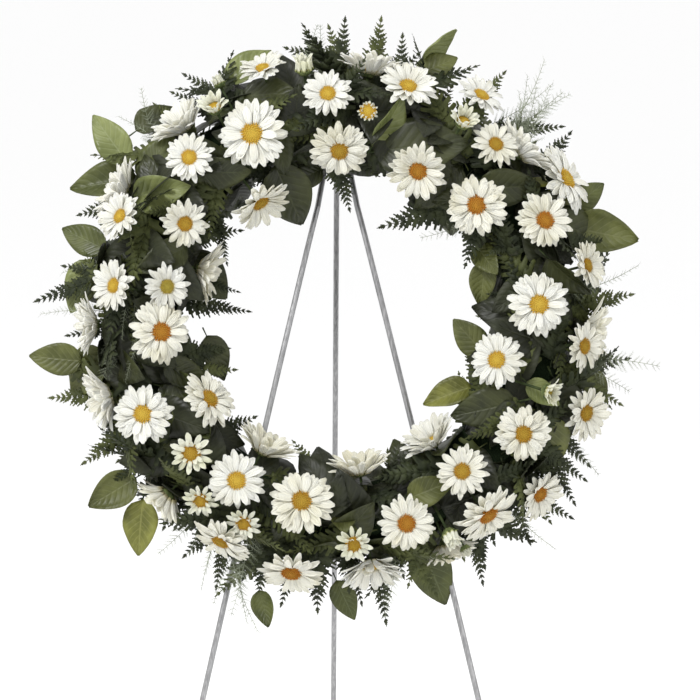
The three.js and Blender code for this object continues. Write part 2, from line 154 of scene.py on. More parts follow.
def close_piece():
    """Back to object mode."""
    bpy.ops.object.mode_set(mode="OBJECT")


def new_piece(name):
    """Names the primitive that was just added, and puts its place in its mesh."""
    piece = bpy.context.object
    piece.name = name
    bpy.ops.object.transform_apply(location=True, rotation=True, scale=True)
    return piece


def apply_modifier(piece, kind, **settings):
    """Adds a modifier, sets it and applies it."""
    modifier = piece.modifiers.new(kind.title(), kind)
    for key, value in settings.items():
        setattr(modifier, key, value)
    select_only(piece)
    bpy.ops.object.modifier_apply(modifier=modifier.name)


def copy_of(master, name, place):
    """A copy with its own mesh, moved by the matrix."""
    mesh = master.data.copy()
    mesh.transform(place)
    piece = bpy.data.objects.new(name, mesh)
    bpy.context.scene.collection.objects.link(piece)
    return piece


def join(pieces, name):
    """Joins pieces into one."""
    select_only(*pieces)
    bpy.ops.object.join()
    pieces[0].name = name
    return pieces[0]


def standing(base, along, facing, size=1.0, wide=1.0):
    """The matrix that puts a piece's root at base, its growth (+Y) along a direction
    and its upper face (+Z) as nearly as it can towards another."""
    y = along.normalized()
    x = y.cross(facing).normalized()
    z = x.cross(y)
    turn = Matrix((x, y, z)).transposed().to_4x4()
    return Matrix.Translation(base) @ turn @ Matrix.Diagonal((size * wide, size, size, 1))


def belongs(piece, slot, *replaced):
    """The piece rides with the wreath and stands for frame nodes; slot is not used."""
    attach(piece, BODY)
    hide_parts(*replaced)


# %% [markdown]
# ## Camera, light and floor
# The wreath is seen nearly face on, from a little above and from slightly to the left.
# A long lens keeps the ring round. The light is that of a white studio tent: a bright surround,
# a strong soft lamp high on the left, a wide weak one low on the right and a third behind.
# The floor is a wide pale disc, so wide that its edge melts into the surround.

# %% Camera
VIEW_SIDE = math.radians(-1.6)
VIEW_DOWN = math.radians(10)
VIEW_AWAY = 2.7
SENSOR_WIDTH = 36
LENS = 137
FAR_END = 200
aim = on_face(11 * MM, -33 * MM)
away = Vector((math.sin(VIEW_SIDE) * math.cos(VIEW_DOWN),
               -math.cos(VIEW_SIDE) * math.cos(VIEW_DOWN),
               math.sin(VIEW_DOWN)))
bpy.ops.object.camera_add(location=aim + away * VIEW_AWAY)
camera = bpy.context.object
camera.rotation_euler = (-away).to_track_quat("-Z", "Y").to_euler()
camera.data.sensor_width = SENSOR_WIDTH
camera.data.lens = LENS
camera.data.clip_end = FAR_END
bpy.context.scene.camera = camera
print("camera at", [round(x, 3) for x in camera.location])

# %% Lamps, surround and floor
SURROUND_STRENGTH = 1.02
FLOOR_RADIUS = 80
FLOOR_DROP = 0.0003


def soft_lamp(name, place, size, power):
    """A square area lamp that points at the wreath."""
    bpy.ops.object.light_add(type="AREA", location=place)
    lamp = bpy.context.object
    lamp.name = name
    lamp.data.size = size
    lamp.data.energy = power
    lamp.rotation_euler = (CENTRE - Vector(place)).to_track_quat("-Z", "Y").to_euler()


soft_lamp("key_lamp", (-1.3, -1.8, 3.0), 0.8, 54)
soft_lamp("fill_lamp", (2.4, -2.2, 0.9), 2.0, 9)
soft_lamp("back_lamp", (0.8, 2.6, 2.6), 1.6, 10)

surround = bpy.data.worlds.new("surround")
bpy.context.scene.world = surround
surround.use_nodes = True
surround.node_tree.nodes["Background"].inputs["Color"].default_value = (1, 1, 1, 1)
surround.node_tree.nodes["Background"].inputs["Strength"].default_value = SURROUND_STRENGTH
bpy.context.scene.view_settings.view_transform = "Standard"

bpy.ops.mesh.primitive_circle_add(vertices=96, radius=FLOOR_RADIUS, fill_type="NGON",
                                  location=(0, 0, -FLOOR_DROP))
floor = bpy.context.object
floor.name = "floor"
floor_paint = bpy.data.materials.new("floor_paint")
floor_paint.use_nodes = True
floor_paint.node_tree.nodes["Principled BSDF"].inputs["Base Color"].default_value = (0.96, 0.96, 0.96, 1)
floor_paint.node_tree.nodes["Principled BSDF"].inputs["Roughness"].default_value = 0.85
floor_paint.node_tree.nodes["Principled BSDF"].inputs["Specular IOR Level"].default_value = 0.2
floor.data.materials.append(floor_paint)
print("floor and lamps set")

# %% [markdown]
# ## Finishes
# Every finish is built from nodes. Places come from Object coordinates, so two flowers never match,
# and ribs and veins come from the map that each blade got when its grid was made:
# across it from 0 to 1, and along it from root to tip.
# An effect that several finishes need is a node group, made once.

# %% Node helpers


def add_node(tree, kind, inputs, **settings):
    """Adds a node. Each input is a plain value, or the output that feeds it."""
    made = tree.nodes.new(kind)
    for key, value in settings.items():
        setattr(made, key, value)
    for key, value in inputs.items():
        if isinstance(value, bpy.types.NodeSocket):
            tree.links.new(value, made.inputs[key])
        else:
            made.inputs[key].default_value = value
    return made


def sums(tree, operation, first, second=0.0):
    """The result of one Math node."""
    inputs = {0: first, 1: second}
    return add_node(tree, "ShaderNodeMath", inputs, operation=operation).outputs[0]


def ramp(tree, value, low, high, start=0.0, end=1.0):
    """A smooth step from start to end, as the value goes from low to high."""
    inputs = {"Value": value, "From Min": low, "From Max": high, "To Min": start, "To Max": end}
    made = add_node(tree, "ShaderNodeMapRange", inputs, interpolation_type="SMOOTHSTEP")
    return made.outputs["Result"]


def blend_of(tree, mask, first, second):
    """First colour where the mask is 0, second where it is 1."""
    made = add_node(tree, "ShaderNodeMix", {0: mask}, data_type="RGBA")
    for index, colour in ((6, first), (7, second)):
        if isinstance(colour, bpy.types.NodeSocket):
            tree.links.new(colour, made.inputs[index])
        else:
            made.inputs[index].default_value = (*colour, 1)
    return made.outputs[2]


def new_group(name, inputs, outputs):
    """An empty node group with float sockets, and one vector to read."""
    tree = bpy.data.node_groups.new(name, "ShaderNodeTree")
    tree.interface.new_socket("Vector", in_out="INPUT", socket_type="NodeSocketVector")
    for label in inputs:
        tree.interface.new_socket(label, in_out="INPUT", socket_type="NodeSocketFloat")
    for label in outputs:
        tree.interface.new_socket(label, in_out="OUTPUT", socket_type="NodeSocketFloat")
    return tree, tree.nodes.new("NodeGroupInput"), tree.nodes.new("NodeGroupOutput")


def use_group(tree, group, vector, **values):
    """Places a group in a material, with its own values."""
    made = tree.nodes.new("ShaderNodeGroup")
    made.node_tree = group
    tree.links.new(vector, made.inputs["Vector"])
    for key, value in values.items():
        made.inputs[key].default_value = value
    return made.outputs


def new_finish(name, **plain):
    """A material, its tree, its shader, and the Object and UV coordinates."""
    finish = bpy.data.materials.new(name)
    finish.use_nodes = True
    tree = finish.node_tree
    shader = tree.nodes["Principled BSDF"]
    for key, value in plain.items():
        shader.inputs[key.replace("_", " ").title().replace("Ior", "IOR")].default_value = value
    place = tree.nodes.new("ShaderNodeTexCoord")
    return finish, tree, shader, place.outputs["Object"], place.outputs["UV"]


def set_bump(tree, shader, height, distance, strength):
    """Feeds a height to the shader's normal."""
    inputs = {"Height": height, "Distance": distance, "Strength": strength}
    bump = add_node(tree, "ShaderNodeBump", inputs)
    tree.links.new(bump.outputs["Normal"], shader.inputs["Normal"])


# %% [markdown]
# The first group is a soft cloudiness, for the way no leaf, petal or drawn wire is one even colour.
# The second draws the net of a broad leaf: a middle rib, side veins that sweep forward to the edge,
# and the quilted swelling between them.

# %% Shared effects
mottle, mottle_in, mottle_out = new_group("mottle", ("Size", "Low", "High"), ("Mask",))
cloud = add_node(mottle, "ShaderNodeTexNoise", {
    "Vector": mottle_in.outputs["Vector"], "Scale": mottle_in.outputs["Size"], "Detail": 3.0})
mottle_mask = ramp(mottle, cloud.outputs["Fac"], mottle_in.outputs["Low"], mottle_in.outputs["High"])
mottle.links.new(mottle_mask, mottle_out.inputs["Mask"])

leaf_net, net_in, net_out = new_group("leaf_net", ("Pairs", "Sweep"), ("Vein", "Relief"))
net_map = add_node(leaf_net, "ShaderNodeSeparateXYZ", {0: net_in.outputs["Vector"]})
net_aside = sums(leaf_net, "ABSOLUTE", sums(leaf_net, "SUBTRACT", net_map.outputs["X"], 0.5))
net_swept = sums(leaf_net, "MULTIPLY", net_aside, net_in.outputs["Sweep"])
net_along = sums(leaf_net, "SUBTRACT", net_map.outputs["Y"], net_swept)
net_phase = sums(leaf_net, "FRACT", sums(leaf_net, "MULTIPLY", net_along, net_in.outputs["Pairs"]))
net_near = sums(leaf_net, "ABSOLUTE", sums(leaf_net, "SUBTRACT", net_phase, 0.5))
side_vein = ramp(leaf_net, net_near, 0.40, 0.5)
side_vein = sums(leaf_net, "MULTIPLY", side_vein, ramp(leaf_net, net_aside, 0.5, 0.3))
middle_rib = ramp(leaf_net, net_aside, 0.035, 0.008)
every_vein = sums(leaf_net, "MAXIMUM", side_vein, middle_rib)
swelling = sums(leaf_net, "SUBTRACT", ramp(leaf_net, net_near, 0.5, 0.1), middle_rib)
leaf_net.links.new(every_vein, net_out.inputs["Vein"])
leaf_net.links.new(swelling, net_out.inputs["Relief"])
print("groups:", [group.name for group in bpy.data.node_groups])

# %% [markdown]
# Petals are white, but never plain: they are ribbed lengthwise, with painted shade in the furrows between
# the ribs, a little green at the root and warmer or greyer in patches. The button in the middle is a crowd
# of tiny yellow tubes, greener where they are still closed in its middle and more orange round its edge,
# with painted shade strewn between them as a fine grain.

# %% Flower finishes


def petal_finish(name, white, shade, root):
    """Ribbed white petals: shade lies in patches and, as painted shade, in the furrows between the ribs;
    root tints the foot of each petal.
    """
    finish, tree, shader, place, along = new_finish(name, roughness=0.55, specular_ior_level=0.3,
                                                    subsurface_weight=0.5, subsurface_scale=2 * MM,
                                                    subsurface_radius=(1, 0.95, 0.85))
    petal_map = add_node(tree, "ShaderNodeSeparateXYZ", {0: along})
    patches = use_group(tree, mottle, place, Size=38.0, Low=0.42, High=0.72)["Mask"]
    colour = blend_of(tree, patches, white, shade)
    foot = ramp(tree, petal_map.outputs["Y"], 0.26, 0.02)
    colour = blend_of(tree, foot, colour, root)
    ribs = sums(tree, "COSINE", sums(tree, "MULTIPLY", petal_map.outputs["X"], 8 * math.pi))
    # painted shade: the furrows between the ribs are darkened towards the shade colour
    furrow_painted_shade = sums(tree, "MULTIPLY", ramp(tree, ribs, -0.2, -1.0), 0.5)
    colour = blend_of(tree, furrow_painted_shade, colour, shade)
    tree.links.new(colour, shader.inputs["Base Color"])
    set_bump(tree, shader, ribs, 0.25 * MM, 0.6)
    return finish


def button_finish(name, inner, outer, deep):
    """The button's tiny tubes: inner colour in its middle, outer at its edge, and deep as painted shade
    between them, strewn as a fine grain.
    """
    finish, tree, shader, place, along = new_finish(name, roughness=0.7, specular_ior_level=0.2)
    button_map = add_node(tree, "ShaderNodeSeparateXYZ", {0: along})
    colour = blend_of(tree, ramp(tree, button_map.outputs["X"], 0.15, 0.95), inner, outer)
    grains = use_group(tree, mottle, place, Size=900.0, Low=0.5, High=0.75)["Mask"]
    # painted shade: the fine grain darkens the colour towards deep, standing in for the shade between the
    # tubes
    colour = blend_of(tree, sums(tree, "MULTIPLY", grains, 0.6), colour, deep)
    tree.links.new(colour, shader.inputs["Base Color"])
    set_bump(tree, shader, grains, 0.2 * MM, 0.7)
    return finish


def green_finish(name, dark, light, size, roughness):
    """Matt plant green in two tones, for stems, cups and fine foliage."""
    finish, tree, shader, place, _ = new_finish(name, roughness=roughness, specular_ior_level=0.15)
    tones = use_group(tree, mottle, place, Size=size, Low=0.35, High=0.68)["Mask"]
    tree.links.new(blend_of(tree, tones, dark, light), shader.inputs["Base Color"])
    set_bump(tree, shader, tones, 0.15 * MM, 0.5)
    return finish


# The second colour of each petal finish is a greyer tone for its patches and the painted shade of its
# furrows.
petal_white = petal_finish("petal_white", (0.78, 0.775, 0.70), (0.62, 0.605, 0.51), (0.66, 0.60, 0.34))
petal_cream = petal_finish("petal_cream", (0.755, 0.74, 0.635), (0.61, 0.585, 0.455), (0.60, 0.52, 0.24))
petal_young = petal_finish("petal_young", (0.74, 0.74, 0.60), (0.62, 0.62, 0.42), (0.48, 0.50, 0.16))
# The third colour of each button finish is the painted shade between its tubes.
button_ochre = button_finish("button_ochre", (0.36, 0.25, 0.03), (0.42, 0.22, 0.02), (0.17, 0.08, 0.01))
button_yellow = button_finish("button_yellow", (0.50, 0.37, 0.055), (0.54, 0.32, 0.032), (0.30, 0.17, 0.02))
button_orange = button_finish("button_orange", (0.36, 0.19, 0.02), (0.41, 0.15, 0.015), (0.17, 0.06, 0.01))
button_green = button_finish("button_green", (0.30, 0.25, 0.04), (0.38, 0.28, 0.045), (0.16, 0.12, 0.02))
cup_green = green_finish("cup_green", (0.075, 0.10, 0.035), (0.17, 0.20, 0.075), 140.0, 0.6)
stem_green = green_finish("stem_green", (0.024, 0.036, 0.012), (0.06, 0.08, 0.028), 90.0, 0.6)
print("flower finishes ready")

# %% [markdown]
# ## One blade
# A petal, a broad leaf, a bract and a fern's leaflet are all thin blades. Each starts as a grid,
# whose map then follows the blade. Its columns are lowered or raised to fold or rib it,
# then each row is narrowed to the outline and lifted to the curve of the blade.
# A Solidify modifier gives it thickness last, so both faces and the edge are closed.

# %% The blade


def blade(name, long, wide, columns, rows, outline, rise, fold, thick, back=0):
    """A blade from the origin along +Y. outline(t) is its share of the full width at t of its
    length, rise(t) its height there, and fold(s) the height at s, from -1 to 1 across it."""
    bpy.ops.object.select_all(action="DESELECT")
    bpy.ops.mesh.primitive_grid_add(x_subdivisions=columns, y_subdivisions=rows, size=1,
                                    location=(0, 0.5, 0))
    piece = new_piece(name)
    open_piece(piece)
    for column in range(columns + 1):
        side = column / columns - 0.5
        pick(piece, lambda place: abs(place.x - side) < 0.01)
        bpy.ops.transform.translate(value=(0, 0, fold(side * 2)))
    bpy.ops.mesh.select_all(action="SELECT")
    bpy.ops.transform.resize(value=(wide, long, 1), center_override=(0, 0, 0))
    for row in range(rows + 1):
        share = row / rows
        pick(piece, lambda place: abs(place.y - share * long) < 0.2 * long / rows)
        bpy.ops.transform.resize(value=(outline(share), 1, max(outline(share), 0.3)),
                                 center_override=(0, share * long, 0))
        bpy.ops.transform.translate(value=(0, 0, rise(share)))
    close_piece()
    bpy.ops.object.shade_smooth()
    apply_modifier(piece, "SOLIDIFY", thickness=thick, offset=-1, material_offset=back)
    return piece


# %% [markdown]
# A petal widens to two thirds of its length and ends in a blunt, slightly notched tip.
# Two shallow grooves run along it. Three masters, one nearly flat, one with drooping tip and one
# with its sides curled up, are enough, since every copy is turned and stretched a little.

# %% Petals
PETAL_LONG = 23 * MM
PETAL_WIDE = 7.2 * MM
PETAL_THICK = 0.35 * MM


def petal_outline(share):
    """Narrow foot, widest beyond the middle, rounded tip."""
    if share <= 0.6:
        return 0.42 + 0.58 * math.sin(math.pi * 0.5 * share / 0.6) ** 1.2
    return math.sqrt(max(1 - ((share - 0.6) / 0.43) ** 2, 0.08))


def petal_of(name, arch, droop, curl):
    """One petal master. arch lifts its middle, droop drops its tip, curl lifts its sides."""
    piece = blade(name, PETAL_LONG, PETAL_WIDE, 4, 5, petal_outline,
                  lambda share: arch * math.sin(math.pi * share) - droop * share ** 2,
                  lambda side: curl * side ** 2 - 0.55 * MM * math.sin(math.pi * abs(side)),
                  PETAL_THICK)
    open_piece(piece)
    pick(piece, lambda place: place.y > PETAL_LONG * 0.99 and abs(place.x) < 0.3 * MM)
    bpy.ops.transform.translate(value=(0, -0.5 * MM, 0))
    pick(piece, lambda place: place.y > PETAL_LONG * 0.99 and abs(place.x) > 0.8 * MM)
    bpy.ops.transform.translate(value=(0, -0.9 * MM, 0))
    close_piece()
    piece.data.materials.append(petal_white)
    return piece


petals = [petal_of("petal_flat", 0.9 * MM, 0.6 * MM, 0.5 * MM),
          petal_of("petal_drooping", 1.6 * MM, 3.4 * MM, -0.3 * MM),
          petal_of("petal_curled", 0.4 * MM, -1.2 * MM, 1.6 * MM)]
print("petal faces", [len(piece.data.polygons) for piece in petals])

# %% [markdown]
# The button is a low dome with a crowd of little five-sided tubes on it, set out in the spiral
# that all daisies use: each one turned by the golden angle from the last.
# Each tube's map is squeezed to one value, its distance from the middle, so the finish can shade it.

# %% Button
BUTTON_RADIUS = 9.4 * MM
BUTTON_HIGH = 3.6 * MM
TUBES = 84
GOLDEN_ANGLE = math.radians(137.508)


def set_map(piece, value):
    """Gives the whole piece one place on its map."""
    layer = piece.data.uv_layers.active or piece.data.uv_layers.new(name="UVMap")
    for corner in layer.data:
        corner.uv = (value, 0.5)


def dome_height(share):
    """The dome's height at a share of its radius, with a slight dimple in the middle."""
    return BUTTON_HIGH * (math.sqrt(max(1 - share ** 2 * 0.96, 0)) - 0.25 * (1 - share) ** 3)


def tube_master():
    """One closed tube of the button, a stub with a narrowed head."""
    bpy.ops.object.select_all(action="DESELECT")
    bpy.ops.mesh.primitive_cone_add(vertices=5, radius1=0.78 * MM, radius2=0.42 * MM,
                                    depth=1.5 * MM, location=(0, 0, 0.3 * MM))
    return new_piece("tube")


def button_master(name, finish):
    """The dome and its tubes, joined."""
    bpy.ops.object.select_all(action="DESELECT")
    bpy.ops.mesh.primitive_uv_sphere_add(segments=14, ring_count=8, radius=BUTTON_RADIUS)
    dome = new_piece(name)
    open_piece(dome)
    bpy.ops.mesh.select_all(action="SELECT")
    bpy.ops.transform.resize(value=(0.97, 0.97, 0.34), center_override=(0, 0, 0))
    bpy.ops.mesh.bisect(plane_co=(0, 0, -1 * MM), plane_no=(0, 0, 1), use_fill=True, clear_inner=True)
    close_piece()
    set_map(dome, 0.5)
    parts = [dome]
    for count in range(TUBES):
        share = math.sqrt((count + 0.5) / TUBES)
        turn = Matrix.Rotation(count * GOLDEN_ANGLE, 4, "Z")
        lean = Matrix.Rotation(-share * 0.9, 4, "X")
        grow = 0.75 + 0.45 * share + chance.uniform(-0.12, 0.12)
        spot = Matrix.Translation((0, share * BUTTON_RADIUS, dome_height(share)))
        tube = copy_of(tube_shape, "tube_copy", turn @ spot @ lean @ Matrix.Scale(grow, 4))
        set_map(tube, share)
        parts.append(tube)
    made = join(parts, name)
    made.data.materials.clear()
    made.data.materials.append(finish)
    return made


tube_shape = tube_master()
buttons = {"ochre": button_master("master_ochre", button_ochre),
           "yellow": button_master("master_yellow", button_yellow),
           "orange": button_master("master_orange", button_orange),
           "green": button_master("master_green", button_green)}
print("button faces", [len(piece.data.polygons) for piece in buttons.values()])

# %% [markdown]
# Behind the petals sits a green cup of overlapping bracts, and below it the stem, whose cut end
# goes into the foam. Both show wherever a flower is seen from its side, along the rim.

# %% Cup and stem
CUP_RADIUS = 8.2 * MM
HEAD_TO_CIRCLE = 70 * MM
FAN_TO_CIRCLE = 54 * MM
STEM_DEPTH = 50 * MM
BRACTS = 9


def cup_master():
    """Half a flattened ball, a ring of bracts around it and a straight stem."""
    bpy.ops.object.select_all(action="DESELECT")
    bpy.ops.mesh.primitive_uv_sphere_add(segments=12, ring_count=8, radius=CUP_RADIUS)
    ball = new_piece("cup")
    open_piece(ball)
    bpy.ops.mesh.select_all(action="SELECT")
    bpy.ops.transform.resize(value=(1, 1, 0.72), center_override=(0, 0, 0))
    bpy.ops.mesh.bisect(plane_co=(0, 0, 0), plane_no=(0, 0, 1), use_fill=True, clear_outer=True)
    close_piece()
    bpy.ops.object.shade_smooth()
    bract = blade("bract", 8 * MM, 4 * MM, 2, 3, lambda t: (0.6, 0.95, 0.8, 0.15)[round(t * 3)],
                  lambda t: 0.9 * MM * math.sin(math.pi * t), lambda s: 0.3 * MM * s ** 2, 0.3 * MM)
    parts = [ball]
    for count in range(BRACTS):
        turn = Matrix.Rotation(math.radians(360 // BRACTS * count), 4, "Z")
        spot = Matrix.Translation((0, 4.6 * MM, -5.6 * MM))
        parts.append(copy_of(bract, "bract_copy", turn @ spot @ Matrix.Rotation(math.radians(48), 4, "X")))
    for part in parts:
        part.data.materials.append(cup_green)
    bpy.ops.object.select_all(action="DESELECT")
    bpy.ops.mesh.primitive_cone_add(vertices=7, radius1=1.2 * MM, radius2=1.5 * MM, depth=STEM_DEPTH,
                                    location=(0, 0, -STEM_DEPTH / 2 - 4 * MM))
    stem = new_piece("stem")
    bpy.ops.object.shade_smooth()
    stem.data.materials.append(stem_green)
    bpy.data.objects.remove(bract)
    return join(parts + [stem], "master_cup")


cup = cup_master()
print("cup and stem faces", len(cup.data.polygons))

# %% [markdown]
# ## Whole daisies
# A daisy is two or three whorls of petals round the button. The outer whorl lies flattest.
# The same recipe with steeper, shorter petals gives the half open flowers between them.
# A whorl names how many petals it has, where they start, how long they are and how far they rise.

# %% Daisy masters
PETAL_START = 6.8 * MM


def whorl(count, start, long, tilt, spread, lift, turn):
    """Petals in one ring. tilt is in degrees above flat, and spread its range."""
    made = []
    for step in range(count):
        yaw = math.radians(360 / count * (step + chance.uniform(-0.22, 0.22)) + turn)
        rise = math.radians(tilt + chance.uniform(-spread, spread))
        twist = math.radians(chance.uniform(-14, 14))
        grow = long * chance.uniform(0.85, 1.08)
        wide = chance.uniform(0.86, 1.1) * min(1, long + 0.15)
        place = (Matrix.Rotation(yaw, 4, "Z") @ Matrix.Translation((0, start, lift))
                 @ Matrix.Rotation(rise, 4, "X") @ Matrix.Rotation(twist, 4, "Y")
                 @ Matrix.Diagonal((wide, grow, 1, 1)))
        made.append(copy_of(chance.choice(petals), "petal_copy", place))
    return made


def daisy_master(name, *whorls):
    """The petals of one daisy, in a piece of their own. Short petals are greenish young ones."""
    parts = [petal for values in whorls for petal in whorl(*values)]
    made = join(parts, name)
    if whorls[0][2] < 0.7:
        made.data.materials[0] = petal_young
    return made


# count, start, length, tilt, spread, lift and turn of each whorl
OUT, IN, HIGH = PETAL_START, PETAL_START - 0.6 * MM, 1 * MM
shapes = {
    "flat": daisy_master("master_flat", (18, OUT, 1.0, 1, 7, 0, 0), (16, IN, 0.94, 11, 8, HIGH, 13)),
    "full": daisy_master("master_full", (18, OUT, 1.0, -4, 7, 0, 8), (16, OUT, 0.96, 6, 8, 0.6 * HIGH, 21),
                         (9, IN, 0.8, 17, 10, 1.3 * HIGH, 2)),
    "loose": daisy_master("master_loose", (17, OUT, 1.03, 1, 12, 0, 5), (14, OUT, 0.9, 14, 12, HIGH, 18)),
    "dished": daisy_master("master_dished", (17, OUT, 1.0, 13, 8, 0, 3), (15, IN, 0.94, 25, 8, HIGH, 17)),
    "fan": daisy_master("master_fan", (15, 9 * MM, 1.06, 34, 9, -2 * HIGH, 11),
                        (14, 8.4 * MM, 1.0, 46, 8, -HIGH, 24), (8, 7.8 * MM, 0.9, 58, 8, 0, 3)),
    "half": daisy_master("master_half_open", (13, OUT, 0.62, 12, 20, 0, 2),
                         (10, IN, 0.42, 46, 16, HIGH, 20)),
    "opening": daisy_master("master_opening", (11, OUT, 0.6, 58, 9, 0, 9), (9, IN, 0.5, 72, 8, HIGH, 25)),
    "button": daisy_master("master_button", (14, OUT, 0.24, 22, 12, 0, 4), (9, IN, 0.2, 60, 9, HIGH, 12)),
    "bud": daisy_master("master_bud", (9, 7.6 * MM, 0.5, 92, 6, 0, 0), (8, 6 * MM, 0.56, 99, 5, 0, 20),
                        (6, 4 * MM, 0.58, 98, 5, 0, 10))}
print("faces of each daisy's petals", {name: len(made.data.polygons) for name, made in shapes.items()})

# %% [markdown]
# ## Planting the daisies
# Twenty-eight large daisies are part of the solid frame, so each gets its fine copy just where its
# frame node stands. The node tells it all: the middle of its head gives the way that it faces,
# since a stem pushed into the ring stands straight out of it, and its farthest point the width.
# The petals are ruffled a little, each flower in its own way, before it is put in place.

# %% Ruffle and plant
MASTER_ACROSS = 60 * MM
HEAD_REACH = 26 * MM
RUFFLE = 0.9 * MM


def read_daisy(node):
    """Clock, around and width of a frame daisy, from its own points."""
    head = []
    for vertex in node.data.vertices:
        across, up, forward = read_face(vertex.co)
        aside = math.hypot(across, up) - RING_RADIUS
        if math.hypot(aside, forward) > HEAD_TO_CIRCLE * 0.8:
            head.append(vertex.co.copy())
    middle = sum(head, Vector()) / len(head)
    across, up, forward = read_face(middle)
    clock = math.atan2(up, across)
    around = math.atan2(math.hypot(across, up) - RING_RADIUS, forward)
    axis = ring_normal(clock, around)
    width = 2 * max((point - middle).cross(axis).length for point in head)
    return clock, around, width


def ruffle(mesh, deep):
    """Waves that grow towards the petal tips, and a slight lean of the whole head."""
    first, second = chance.uniform(0, math.tau), chance.uniform(0, math.tau)
    lean = chance.uniform(-0.06, 0.06)
    for vertex in mesh.vertices:
        place = vertex.co
        reach = math.hypot(place.x, place.y) / (MASTER_ACROSS / 2)
        turn = math.atan2(place.y, place.x)
        wave = math.sin(2 * turn + first) + 0.6 * math.sin(3 * turn + second)
        place.z += deep * wave * reach ** 2 + lean * place.x * reach


kept_clear = []


def plant_daisy(name, shape, button, clock, around, size, face):
    """One daisy on its stem. face is the angle round the ring's body at which it looks out."""
    axis = ring_normal(clock, face)
    spot = ring_point(clock, around, FAN_TO_CIRCLE if shape == "fan" else HEAD_TO_CIRCLE)
    side = axis.orthogonal()
    place = standing(spot, side, axis, size) @ Matrix.Rotation(chance.uniform(0, math.tau), 4, "Z")
    crown = copy_of(shapes[shape], name, Matrix.Identity(4))
    ruffle(crown.data, RUFFLE)
    if button in (buttons["ochre"], buttons["orange"]) and shape != "half":
        crown.data.materials[0] = petal_cream
    heavy = {"opening": 0.72, "bud": 0.5, "fan": 0.7}.get(shape, 1)
    head = [crown, copy_of(button, "button_copy", Matrix.Scale(heavy, 4))]
    for part in head:
        part.data.transform(place)
    green = copy_of(cup, "cup_copy", standing(spot, side, axis, min(1, size + 0.1)))
    kept_clear.append((spot + axis * 5 * MM, HEAD_REACH * size))
    return join(head + [green], name)


# %% [markdown]
# For each frame daisy: its size beside its node's, how many degrees more it looks
# outwards (or inwards, if negative), the shape of its petals and the colour of its button.

# %% The daisies of the frame
FRAME_DAISIES = [
    (0.86, 0, "loose", "yellow"), (1.04, 8, "dished", "yellow"), (1.04, 0, "full", "yellow"),
    (0.86, 0, "loose", "yellow"), (1.05, 0, "full", "ochre"), (1.06, 2, "dished", "orange"),
    (1.16, -8, "dished", "ochre"), (0.92, 8, "dished", "yellow"), (0.86, 0, "loose", "ochre"),
    (0.92, 22, "dished", "yellow"), (1.12, 0, "full", "orange"), (1.2, 18, "fan", "yellow"),
    (1.06, 0, "full", "yellow"), (1.08, -10, "full", "ochre"), (1.0, 0, "flat", "yellow"),
    (1.03, 0, "full", "ochre"), (1.16, 34, "fan", "ochre"), (1.0, 0, "flat", "orange"),
    (0.9, 0, "loose", "ochre"), (0.98, 0, "full", "ochre"), (1.04, -38, "dished", "orange"),
    (1.02, -30, "dished", "ochre"), (0.9, 4, "loose", "ochre"), (1.0, 18, "flat", "yellow"),
    (1.08, 0, "full", "yellow"), (0.98, 0, "flat", "orange"), (1.1, 0, "full", "orange"),
    (0.86, 0, "loose", "ochre")]
frame_daisies = sorted(name for name in nodes if name.startswith("daisy_"))
for name, (share, turn, shape, colour) in zip(frame_daisies, FRAME_DAISIES):
    clock, around, width = read_daisy(nodes[name])
    size = width / MASTER_ACROSS * share
    daisy = plant_daisy("white_" + name, shape, buttons[colour], clock, around, size,
                        around + math.radians(turn))
    belongs(daisy, "daisy_flowers", name)
    print(daisy.name, [round(math.degrees(angle)) for angle in (clock, around)], round(width / MM))

# %% [markdown]
# Between them stand the flowers that have no solid of their own: fans seen from their side round
# the rim and in the hole, half open ones with short greenish petals, and closed buds.
# Each line gives the clock angle, the angle round the ring's body at which it stands, the one at
# which it looks, its size beside the master's, its shape and its button.

# %% Daisies that fill the ring
FILLING = [
    (107, 58, 50, 0.86, "dished", "yellow"), (83, 66, 84, 1.16, "fan", "yellow"),
    (129, 60, 68, 1.18, "fan", "yellow"), (150, 72, 76, 1.18, "fan", "yellow"),
    (171, -22, -22, 0.8, "loose", "green"), (161, -78, -84, 1.14, "fan", "ochre"),
    (-137, 2, 2, 1.02, "half", "ochre"), (-161, 58, 76, 1.2, "fan", "yellow"),
    (-120, -57, -76, 1.16, "fan", "ochre"), (-127, 26, 26, 0.86, "half", "ochre"),
    (-115, 24, 20, 0.86, "half", "ochre"), (-118, 50, 64, 1.06, "full", "ochre"),
    (-101, 60, 54, 1.1, "loose", "orange"), (-87, 24, 24, 0.92, "half", "ochre"),
    (-83, -53, -78, 1.16, "fan", "ochre"), (-83, 76, 66, 1.14, "fan", "yellow"),
    (-54, -53, -66, 1.12, "fan", "yellow"), (-54, 42, 58, 1.16, "full", "orange"),
    (-21, 16, 56, 0.92, "opening", "green"), (11, 47, 50, 0.86, "dished", "ochre"),
    (-4, 82, 80, 1.2, "fan", "ochre"), (42, 56, 84, 1.18, "fan", "yellow"),
    (57, 22, 34, 1.0, "opening", "yellow"), (57, 68, 50, 0.88, "loose", "yellow"),
    (31, 76, 56, 1.25, "full", "yellow"), (82, 2, 2, 0.86, "button", "yellow"),
    (121, 35, 40, 1.0, "opening", "yellow"), (98, 43, 60, 1.2, "bud", "green"),
    (-64, 39, 60, 1.05, "bud", "green"), (-65, 88, 96, 1.0, "fan", "ochre"),
    (117, 64, 80, 0.7, "bud", "green"), (-62, 70, 80, 0.6, "bud", "green")]
for number, (clock, around, face, size, shape, colour) in enumerate(FILLING, len(frame_daisies) + 1):
    daisy = plant_daisy(f"white_daisy_{number}", shape, buttons[colour], math.radians(clock),
                        math.radians(around), size, math.radians(face))
    belongs(daisy, "daisy_flowers")
